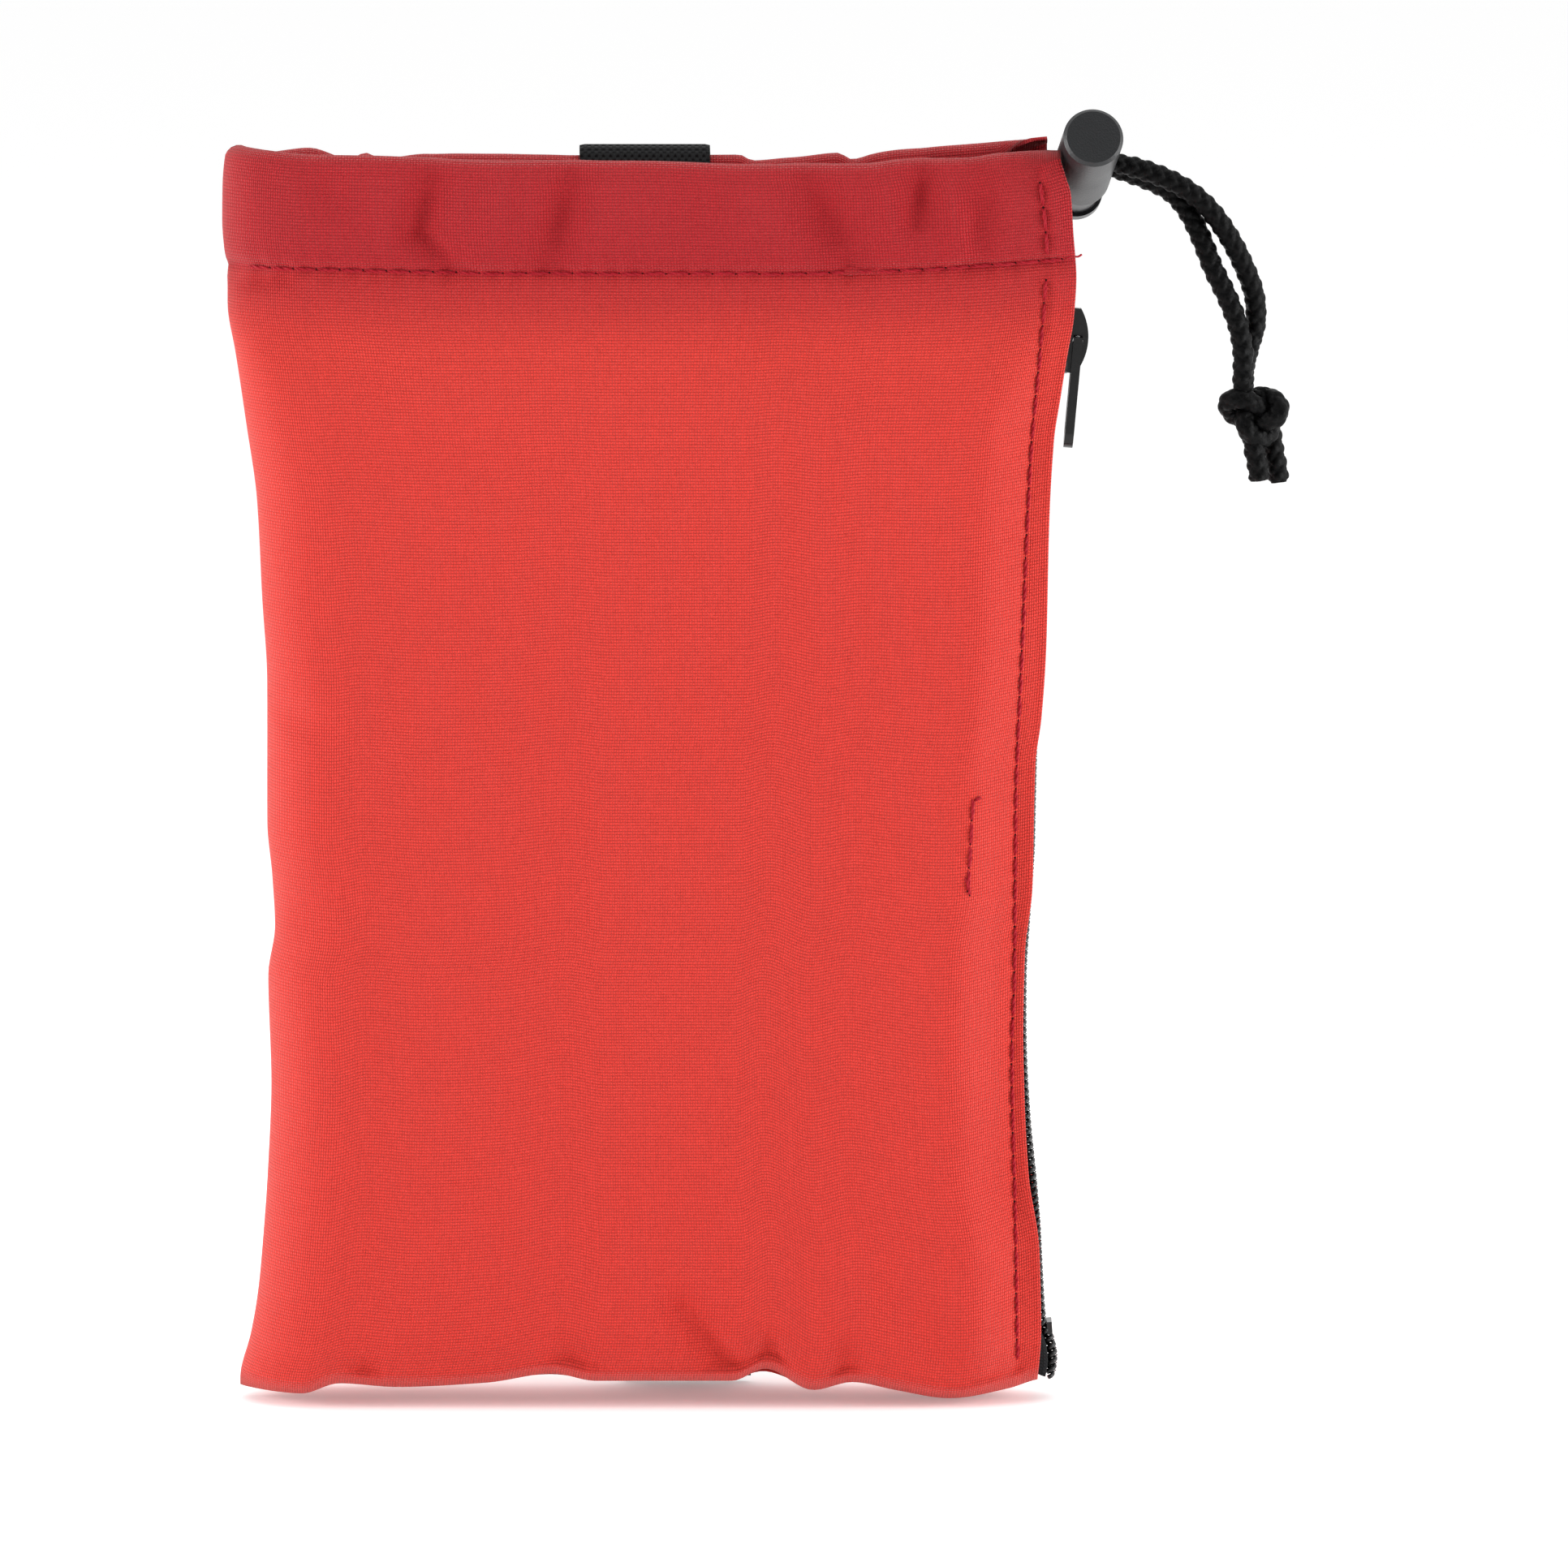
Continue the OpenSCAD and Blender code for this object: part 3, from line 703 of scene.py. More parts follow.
@dataclass(frozen=True)
class CoatedMetal(Finish):
    """Die-cast or drawn metal, bare or under a thin black enamel.

    Attributes:
        name: the material's name.
        colour: the colour of the surface.
        metallic: 1 for bare metal and 0 under enamel.
        roughness: how soft its reflections are.
        coat: how much clear gloss lies on top.
        gloss: how much it reflects, against plain plastic's 0.5.
    """

    name: str
    colour: str
    metallic: float
    roughness: float
    coat: float
    gloss: float = 0.5

    def build(self, tree: bpy.types.NodeTree, shader: bpy.types.Node) -> None:
        """Fill the material's tree.

        Args:
            tree: the tree, with its output.
            shader: its Principled shader.
        """
        wave = noise(tree, 1.6, 2.0)
        rough = maths(tree, "MULTIPLY_ADD", wave, 0.12, self.roughness - 0.06)
        bump = raise_up(tree, wave, 0.03, 0.6)
        shader.inputs["Base Color"].default_value = linear(self.colour)
        shader.inputs["Metallic"].default_value = self.metallic
        shader.inputs["Coat Weight"].default_value = self.coat
        shader.inputs["Coat Roughness"].default_value = 0.08
        shader.inputs["Specular IOR Level"].default_value = self.gloss
        tree.links.new(rough, shader.inputs["Roughness"])
        tree.links.new(bump, shader.inputs["Normal"])


# Coated 600 denier polyester oxford: 64 by 54 threads an inch give threads 0.40 by 0.47 mm,
# so the light breaks up into small red grains, with painted shade in the pinholes between them and, a little,
# on the upright threads
RED_OXFORD = PlainWeave(
    "red_polyester_oxford",
    colour="#C4222A",
    backed_colour="#F23F35",
    gap_shade=0.5,
    across=0.397,
    along=0.470,
    relief=0.18,
    roughness=0.6,
    sheen=0.3,
    mottle=0.12,
    gloss=0.2,
    warp_shade=0.94,
)
# Woven glass fibre: pale, slightly silky threads 0.6 mm wide, with painted shade in the gaps between them
GLASS_CLOTH = PlainWeave("woven_glass_cloth", "#E9E5D6", "#E9E5D6", 0.6, 0.6, 0.6, 0.10, 0.5, 0.1, 0.15)
# Black nylon grosgrain: ribs 1.1 mm apart catch the light in short bars, with painted shade in the grooves
# between them
BLACK_WEBBING = RibbedTape("black_nylon_webbing", "#121214", "#020203", 1.1, 0.55, 0.22, 0.55)
# Woven polyester zip tape, flatter and finer than the webbing, with painted shade in its grooves
ZIP_TAPE = RibbedTape("black_polyester_zip_tape", "#16171A", "#050506", 0.5, 0.4, 0.06, 0.7)
# Polyester sewing thread, deeper red than the cloth
RED_THREAD = SpunThread("red_polyester_thread", "#C01226", "#84081A", 0.16, 0.5, 0.05)
# A dark plug of painted shade in each hole that the needle leaves
NEEDLE_HOLE = SpunThread("needle_hole_shade", "#3A060A", "#1E0305", 0.2, 0.9, 0.0)
# Braided polyester cord: black, with a soft shine along each strand
BLACK_CORD = SpunThread("black_braided_polyester", "#060607", "#020202", 0.22, 0.45, 0.0, 0.1)
# Extruded nylon monofilament: smooth, so each turn has a small highlight
COIL_NYLON = GrainedPlastic("black_nylon_coil", "#141416", 0.4, 0.01, 0.34)
# Injection-moulded polypropylene from a spark-eroded mould: fine grain, satin
LOCK_PLASTIC = GrainedPlastic("black_grained_polypropylene", "#1A1B1D", 0.26, 0.05, 0.42)
# The same plastic from a smoother mould
PLUNGER_PLASTIC = GrainedPlastic("black_smooth_polypropylene", "#141517", 0.5, 0.01, 0.3)
# Zinc die casting under black enamel: glossy, with soft edges of light
BLACK_ENAMEL = CoatedMetal("black_enamelled_zinc", "#060607", 0.0, 0.22, 0.15, 0.3)
# Drawn spring steel
SPRING_STEEL = CoatedMetal("drawn_spring_steel", "#B9BABC", 1.0, 0.3, 0.0)


# ---------------------------------------------------------------- the pouch


@dataclass
class PouchForm:
    """The sewn shape of the pouch, in millimetres.

    Attributes:
        body_half: half its depth round the pack.
        hem_half: half its depth at the hem.
        flap_half: half its depth at the zip flaps.
        left_round: the width of the rounded left edge.
        flap_ease: the width over which the side narrows to the flap.
        turn_h: the height of the rounded bottom.
        fold_r: the radius of the hem's fold.
        zip_radius: the radius of the zip's arc.
        zip_centre: the arc's centre, in x and z.
        back_seam: the height of the hem's seam on the back.
    """

    body_half: float = 12.4
    hem_half: float = 8.0
    flap_half: float = 5.9
    left_round: float = 13.0
    flap_ease: float = 12.5
    turn_h: float = 3.5
    fold_r: float = 2.2
    zip_radius: float = 1005.465
    zip_centre: tuple[float, float] = (1063.991, 74.484)

    left: Profile = profile(
        (0, -63.8), (4, -63.5), (10, -61.9), (17, -60.7), (24, -60.0), (36, -59.1), (50, -58.5),
        (66, -58.9), (74, -57.8), (82, -58.2), (90, -58.9), (112, -58.8), (125, -59.5), (140, -60.2),
        (152, -61.8), (163, -63.4), (170, -64.6), (177, -64.9), (183, -65.3), (189, -65.2), (195, -64.6),
    )
    front_flap: Profile = profile(
        (0, 59.6), (5, 60.1), (11, 60.5), (24, 60.2), (36, 58.5), (49, 57.8), (60, 57.6), (70, 57.8),
        (81, 59.0), (93, 59.2), (100, 59.4), (107, 60.3), (118, 61.0), (137, 61.4), (150, 62.1),
        (156, 63.0), (163, 64.1), (169, 65.1), (175, 65.4), (182, 64.9), (188, 64.5), (190, 63.9),
        (193, 63.0), (196, 62.4),
    )
    back_flap: Profile = profile(
        (0, 59.4), (11, 60.3), (20, 60.7), (30, 60.2), (38, 58.6), (60, 57.6), (72, 57.8), (93, 59.0),
        (107, 59.9), (137, 61.0), (156, 62.6), (169, 64.6), (175, 64.7), (179, 62.8), (184, 61.2),
        (190, 61.0), (196, 61.2),
    )
    back_seam: float = 176.2
    hem_line: Profile = profile(
        (-66, 176.7), (-45, 176.2), (-25, 175.7), (20, 175.6), (40, 176.2), (52, 177.0), (66, 178.1)
    )
    front_rim: Profile = profile(
        (-66, 193.4), (-60, 194.7), (-53, 194.3), (-45, 193.7), (-37, 193.6), (-21, 192.9), (0, 192.8),
        (14, 192.3), (30, 192.4), (36, 193.1), (45, 193.3), (50, 194.0), (57, 194.4), (63, 194.2),
    )
    back_rim: Profile = profile(
        (-66, 193.2), (-53, 193.2), (-46, 193.8), (-40, 192.1), (-38, 193.0), (-35.6, 192.1),
        (-29, 192.9), (-10, 192.7), (15, 192.7), (17, 191.8), (22, 192.3), (29, 193.0), (31, 192.0),
        (34, 192.8), (38, 193.5), (46, 194.2), (53, 194.8), (62, 195.4),
    )
    scallop: Profile = profile(
        (-66, 3.0), (-64, 3.0), (-57.5, 1.7), (-49, 1.0), (-43.5, 2.7), (-35, 2.1), (-22, 2.8),
        (-12.5, 4.3), (-6, 3.1), (14, 3.1), (18.5, 5.1), (26, 1.6), (31.5, 2.9), (38, 1.6), (46, 0.25),
        (55, 1.6), (60, 3.0), (64, 3.2),
    )
    # Soft creases, each from one point of x and z to another, with its width and depth
    creases: tuple[tuple[float, float, float, float, float, float], ...] = (
        (5, 16, 15, 4, 3.4, 2.0), (18.5, 10, 18.5, -2, 3.0, 2.2), (-12, 8, -12.5, -2, 4.0, 1.6),
        (30, 9, 31, -2, 3.0, 1.4), (-44, 7, -44, -2, 3.0, 1.4), (39, 16, 52, 4, 5.0, 1.0),
        (-62, 110, -50, 106, 4.0, 0.9), (-60, 74, -47, 79, 4.5, 1.2), (-62, 93, -52, 96, 4.0, -0.5),
        (-60, 168, -42, 160, 6.0, 1.1), (-50, 154, -20, 147, 9.0, 0.8), (20, 165, 52, 150, 8.0, 0.9),
        (46, 44, 55, 30, 5.0, 0.6), (48, 140, 57, 128, 5.0, 0.5), (40, 22, 54, 20, 6.0, 0.5),
        (-33, 190, -35, 182, 3.0, 1.7), (-35, 182, -30, 177, 2.6, 1.5), (-11.5, 190, -15, 178, 3.4, 1.9),
        (24, 190, 31, 178, 4.2, 2.2), (42, 191, 41, 184, 2.4, 1.6), (51.5, 191, 50, 178, 3.0, 0.9),
        (-52, 191, -44, 183, 4.0, 0.8), (36, 191, 38, 180, 2.6, -0.9), (7, 191, 9, 180, 6.0, 0.8),
        (46, 188, 48, 179, 2.2, -0.9), (-22, 190, -24, 179, 3.4, -0.8), (-64, 173.6, -55, 174.6, 1.3, 1.2),
    )

    def zip_x(self, z: Any) -> Any:
        """Give the x of the zip's middle at a height."""
        return self.zip_centre[0] - np.sqrt(self.zip_radius**2 - (z - self.zip_centre[1]) ** 2)

    def right(self, z: Any, side: int) -> Any:
        """Give the x of the flap's edge at a height."""
        return (self.front_flap if side < 0 else self.back_flap)(z)

    def depth(self, z: Any) -> Any:
        """Give half the pouch's depth at a height, away from its edges."""
        base = mix(0.66, 1.0, np.clip(z / 11, 0, 1) ** 0.6)
        return base * mix(self.body_half, self.hem_half, smooth((z - 151) / 24.5))

    def flap_depth(self, z: Any) -> Any:
        """Give half the depth at the flap's edge."""
        return np.minimum(self.depth(z), mix(self.flap_half, self.hem_half, smooth((z - 169.5) / 6)))

    def crease(self, x: Any, z: Any) -> Any:
        """Give how far the cloth is drawn in by its creases.

        Args:
            x: the places' x.
            z: their height.

        Returns:
            The depth at each place.
        """
        drawn = np.zeros(np.broadcast(x, z).shape)
        for x0, z0, x1, z1, width, depth in self.creases:
            dx, dz = x1 - x0, z1 - z0
            t = np.clip(((x - x0) * dx + (z - z0) * dz) / (dx * dx + dz * dz), 0, 1)
            off = np.hypot(x - x0 - t * dx, z - z0 - t * dz) / width
            ends = 0.55 + 0.45 * np.sin(np.pi * np.clip(t, 0.08, 0.92))
            drawn = drawn + depth * np.exp(-(off**2) * 1.6) * ends
        return drawn

    def waves(self, x: Any, z: Any, side: int) -> Any:
        """Give the slow unevenness of filled cloth.

        Args:
            x: the places' x.
            z: their height.
            side: the side of the pouch.

        Returns:
            How far the cloth stands out at each place.
        """
        a = np.sin(x * 0.071 + z * 0.043 + side) * np.cos(z * 0.061 - x * 0.017)
        b = np.sin(x * 0.19 - z * 0.083 + 2.1 * side) * np.sin(z * 0.127 + 0.9)
        return 0.28 * a + 0.12 * b

    def section(self, k: np.ndarray, z: np.ndarray, side: int) -> tuple[np.ndarray, np.ndarray]:
        """Give one level of the pouch's outside.

        Args:
            k: places from 0 at the left fold to 3 at the flap's edge.
            z: the height of each place.
            side: -1 for the front and 1 for the back.

        Returns:
            The x and the half depth at each place.
        """
        xl, xr, h = self.left(z), self.right(z, side), self.depth(z)
        he = self.flap_depth(z)
        x1, x2 = xl + self.left_round, xr - self.flap_ease
        a = np.clip(k, 0, 1) * np.pi / 2
        x = np.where(k < 1, xl + self.left_round * (1 - np.cos(a)), mix(x1, x2, np.clip(k - 1, 0, 1)))
        y = np.where(k < 1, h * np.sin(a), h)
        t = np.clip(k - 2, 0, 1)
        x = np.where(k > 2, mix(x2, xr, t), x)
        y = np.where(k > 2, mix(h, he, (1 - np.cos(np.pi * t)) / 2), y)
        return x, y


@dataclass
class PouchPanel:
    """The front or the back of the pouch: one cloth from the bottom seam to the hem's inner edge.

    Attributes:
        form: the pouch's shape.
        side: -1 for the front and 1 for the back.
        pitch: the spacing of the mesh in millimetres.
        cloth: the thickness of the cloth in millimetres.
    """

    form: PouchForm
    side: int
    pitch: float = 0.95
    cloth: float = 0.6

    def columns(self) -> np.ndarray:
        """Space the columns.

        Returns:
            Their places, from 0 at the left fold to 3 at the flap's edge.
        """
        return np.concatenate(
            [
                np.linspace(0, 1, 22, endpoint=False),
                np.linspace(1, 2, round(98 / self.pitch), endpoint=False),
                np.linspace(2, 3, 22),
            ]
        )

    def grid(self) -> tuple[np.ndarray, np.ndarray, np.ndarray]:
        """Lay out the cloth.

        Returns:
            Its points in rows, their cloth coordinates, and how much pale backing each has.
        """
        f, side, k = self.form, self.side, self.columns()
        rows: list[np.ndarray] = []
        backed: list[np.ndarray] = []
        x_ref, _ = f.section(k, np.full_like(k, 100.0), side)
        low = f.scallop(x_ref) if side < 0 else np.maximum(1.5, 0.6 * f.scallop(x_ref) + 0.9)
        for q in np.linspace(0, 1, 9, endpoint=False):
            z = low + f.turn_h * (1 - math.cos(q * math.pi / 2))
            x, y = f.section(k, np.maximum(z, low + 1.2), side)
            y = y * math.sin(q * math.pi / 2) ** 0.8
            rows.append(np.stack([x, side * y, z], axis=1))
            backed.append(np.full_like(k, 0.9))
        seam = f.hem_line(x_ref) if side < 0 else np.full_like(x_ref, f.back_seam)
        start = low + f.turn_h
        for t in np.linspace(0, 1, round(165 / self.pitch), endpoint=False):
            z = mix(start, seam, t)
            rows.append(self.wall(k, z, seam))
            backed.append(0.25 + 0.75 * (1 - smooth((z - 162) / 14)))
        rim = (f.front_rim if side < 0 else f.back_rim)(x_ref)
        bend = self.fold_radius(x_ref)
        for t in np.linspace(0, 1, 24, endpoint=False):
            z = mix(seam, rim - bend, t)
            rows.append(self.wall(k, z, seam))
            backed.append(np.zeros_like(k))
        x, y = f.section(k, rim - bend, side)
        y = y - f.crease(x, rim - bend) * (x > -56)
        turn = mix(180.0, 70.0, np.clip((x_ref - 52.2) / 5, 0, 1))
        drop = mix(15.0, 0.6, np.clip((x_ref - 44.2) / 8, 0, 1))
        squeeze = np.clip(1 - k, 0, 1)
        for t in np.linspace(0, 1, 10):
            a = np.radians(turn) * t
            z = rim - bend + bend * np.sin(a)
            inward = bend * (1 - np.cos(a))
            rows.append(np.stack([x + inward * squeeze, side * np.maximum(y - inward, 0), z], axis=1))
            backed.append(np.zeros_like(k))
        top = rows[-1]
        for t in np.linspace(0, 1, 16)[1:]:
            down = drop * t
            a = np.radians(turn)
            out = np.clip(t * 1.35 - 0.35, 0, 1) ** 1.5 * 2.4 * (drop > 8)
            z = top[:, 2] + down * np.cos(a)
            y_in = np.abs(top[:, 1]) - down * np.sin(a) * 0.6 + out
            rows.append(np.stack([top[:, 0], side * np.maximum(y_in, 0), z], axis=1))
            backed.append(np.zeros_like(k))
        points = np.array(rows)
        mid = points[len(points) // 2]
        u = distances(mid)
        column = points[:, len(k) // 2]
        v = distances(column)
        uv = np.stack(np.broadcast_arrays(u[None, :], v[:, None]), axis=2)
        return points, uv, np.array(backed)

    def fold_radius(self, x: np.ndarray) -> np.ndarray:
        """Give the radius of the hem's fold: full over the cord, and pressed flat at its end."""
        return mix(self.form.fold_r, 1.0, smooth((x - 55) / 5))

    def wall(self, k: np.ndarray, z: np.ndarray, seam: np.ndarray) -> np.ndarray:
        """Give one row of the wall, with its creases, waves and seams.

        Args:
            k: the columns' places.
            z: the height of each column.
            seam: the height of the hem's seam at each column.

        Returns:
            The row's points.
        """
        f, side = self.form, self.side
        x, y = f.section(k, z, side)
        free = smooth(k / 0.7) * smooth((3 - k) / 0.25)
        groove = 0.75 * np.exp(-(((z - seam) / 1.1) ** 2)) + 0.45 * np.exp(-(((z - seam + 2.5) / 3.5) ** 2))
        # Small puckers where each stitch draws the cloth in
        pucker = 0.16 * np.exp(-(((z - seam) / 2.4) ** 2)) * np.cos(2 * np.pi * x / 3.6)
        hem_roll = np.where(z > seam, 0.55 * np.sin(np.pi * np.clip((z - seam) / 16, 0, 1)), 0.0)
        stitch_x = TOPSTITCH(z)
        channel = 0.35 * np.exp(-(((x - stitch_x) / 0.9) ** 2)) * (k > 2)
        pulled = 0.12 * np.exp(-(((x - stitch_x) / 2.0) ** 2)) * np.cos(2 * np.pi * z / 3.6)
        move = (hem_roll + f.waves(x, z, side)) * free - f.crease(x, z) * free
        move = move - groove * smooth(k / 0.3) - channel
        y = np.maximum(y + move + (pucker + pulled) * free, 0.0)
        nudge = 0.5 * groove * np.clip(1 - k, 0, 1)
        return np.stack([x + nudge, side * y, z], axis=1)

    def build(self, node: str) -> tuple[bpy.types.Object, BVHTree]:
        """Make the panel.

        Args:
            node: the CAD node that it stands for.

        Returns:
            The piece, and a tree of its outer face for laying stitches on.
        """
        points, uv, backed = self.grid()
        rows, columns = points.shape[:2]
        faces = grid_faces(rows, columns, flip=self.side > 0)
        word = "front" if self.side < 0 else "back"
        piece = mesh_piece(f"pouch_cloth_{word}", points.reshape(-1, 3), faces, uv.reshape(-1, 2))
        layer = piece.data.attributes.new("backed", "FLOAT", "POINT")
        layer.data.foreach_set("value", backed.ravel())
        tree = BVHTree.FromPolygons([Vector(p) for p in points.reshape(-1, 3)], faces)
        thicken(piece, self.cloth)
        settle(piece, [RED_OXFORD], [node])
        return piece, tree


TOPSTITCH: Profile = profile(
    (0, 56.9), (5, 56.8), (29, 56.4), (55, 55.8), (67, 56.2), (93, 56.3), (118, 57.2), (148, 58.5),
    (163, 59.8), (170, 60.4), (178, 60.9), (193, 59.4),
)


@dataclass
class Seams:
    """Lockstitch seams that lie on the cloth.

    Attributes:
        front: the front cloth's outer face.
        back: the back cloth's outer face.
        pitch: the length of one stitch with its gap, in millimetres.
        gap: the cloth that shows between two stitches.
        thread_r: the radius of one ply of the thread.
    """

    front: BVHTree
    back: BVHTree
    pitch: float = 3.6
    gap: float = 0.7
    thread_r: float = 0.19

    def on_cloth(self, x: float, z: float, side: int) -> tuple[Vector, Vector]:
        """Find the cloth's face.

        Args:
            x: the place across.
            z: the height.
            side: -1 for the front and 1 for the back.

        Returns:
            The point on the face, and its outward direction.
        """
        tree = self.front if side < 0 else self.back
        for nudge in (0.0, -0.4, -0.9, -1.5, -2.5):
            hit, normal, _, _ = tree.ray_cast(Vector((x + nudge, side * 60, z)), Vector((0, -side, 0)), 70)
            if hit is not None:
                out = normal if normal.y * side > 0 else -normal
                return hit + Vector((-nudge, 0, 0)), out
        return Vector((x, side * 6, z)), Vector((0, side, 0))

    def stitch(self, bundle: Bundle, a: tuple[float, float], b: tuple[float, float], side: int) -> None:
        """Add one stitch of two twisted plies, and a dark plug of painted shade in the hole it dips into.

        Args:
            bundle: the mesh that is being made.
            a: where it comes up, in x and z.
            b: where it goes down.
            side: -1 for the front and 1 for the back.
        """
        line = []
        for t in np.linspace(0, 1, 9):
            p, n = self.on_cloth(mix(a[0], b[0], t), mix(a[1], b[1], t), side)
            line.append(p + n * (0.34 * math.sin(math.pi * t) ** 0.5 - 0.14))
        core = np.array([tuple(p) for p in line])
        u, v = frames(core)
        t = np.linspace(0, 1, 9)
        size = self.thread_r * (0.55 + 0.45 * np.sin(np.pi * t) ** 0.4)
        for ply in (0, np.pi):
            turn = (ply + t * 2 * np.pi * 1.3)[:, None]
            bundle.tube(core + 0.14 * (np.cos(turn) * u + np.sin(turn) * v), size, sides=6)
        # A dark plug of painted shade stands in the needle hole
        p, n = self.on_cloth(*b, side)
        hole = np.array([tuple(p - n * 0.25), tuple(p + n * 0.03), tuple(p + n * 0.05)])
        bundle.tube(hole, np.array([0.2, 0.2, 0.06]), sides=6, mark=1, up=(0.3, 0.1, 1.0))

    def run(self, bundle: Bundle, path: np.ndarray, side: int) -> None:
        """Sew along a path.

        Args:
            bundle: the mesh that is being made.
            path: rows of x and z.
            side: -1 for the front and 1 for the back.
        """
        step = np.linalg.norm(np.diff(path, axis=0), axis=1)
        along = np.concatenate([[0], np.cumsum(step)])
        count = max(1, round(along[-1] / self.pitch))
        pitch = along[-1] / count

        def at(s: float) -> tuple[float, float]:
            """Give the x and z at a length along the path."""
            return float(np.interp(s, along, path[:, 0])), float(np.interp(s, along, path[:, 1]))

        for i in range(count):
            self.stitch(bundle, at(i * pitch + 0.05), at((i + 1) * pitch - self.gap * 0.5), side)

    def build(self, form: PouchForm) -> None:
        """Sew every seam of the pouch.

        Args:
            form: the pouch's shape.
        """
        thread = [RED_THREAD, NEEDLE_HOLE]
        heights = np.linspace(7, 175, 80)
        for side, word in ((-1, "front"), (1, "back")):
            x = np.linspace(-61, 63.5 if side < 0 else 60.5, 60)
            z = form.hem_line(x) if side < 0 else np.full_like(x, form.back_seam)
            hem = Bundle()
            self.run(hem, np.stack([x, z], axis=1), side)
            if side < 0:
                loose = ((63.9, -7.4, 178.0), (64.8, -7.2, 178.3), (65.6, -6.9, 178.2), (66.2, -6.6, 178.5))
                hem.tube(spline(loose, 0.2), 0.17, sides=6)
            settle(hem.piece(f"hem_thread_{word}"), thread, [f"hem_stitching_{word}"])
            upright = Bundle()
            self.run(upright, np.stack([TOPSTITCH(heights), heights], axis=1), side)
            settle(upright.piece(f"zip_thread_{word}"), thread, [f"zip_stitching_{word}"])
        ends = Bundle()
        for side, x0 in ((-1, 0.0), (1, -2.2)):
            z = np.linspace(178.6, 190, 12)
            self.run(ends, np.stack([TOPSTITCH(z) + x0, z], axis=1), side)
        settle(ends.piece("hem_end_thread"), [RED_THREAD, NEEDLE_HOLE], ["hem_end_stitching"])
        tab = Bundle()
        self.run(tab, np.array([[50.9, 95.4], [49.7, 94.9]]), -1)
        self.run(tab, np.array([[49.7, 95.2], [49.3, 88.0], [48.9, 80.6]]), -1)
        self.run(tab, np.array([[48.6, 83.2], [49.3, 80.0]]), -1)
        settle(tab.piece("inner_tab_thread"), [RED_THREAD, NEEDLE_HOLE], ["inner_tab_stitching"])


# ---------------------------------------------------------------- the zip


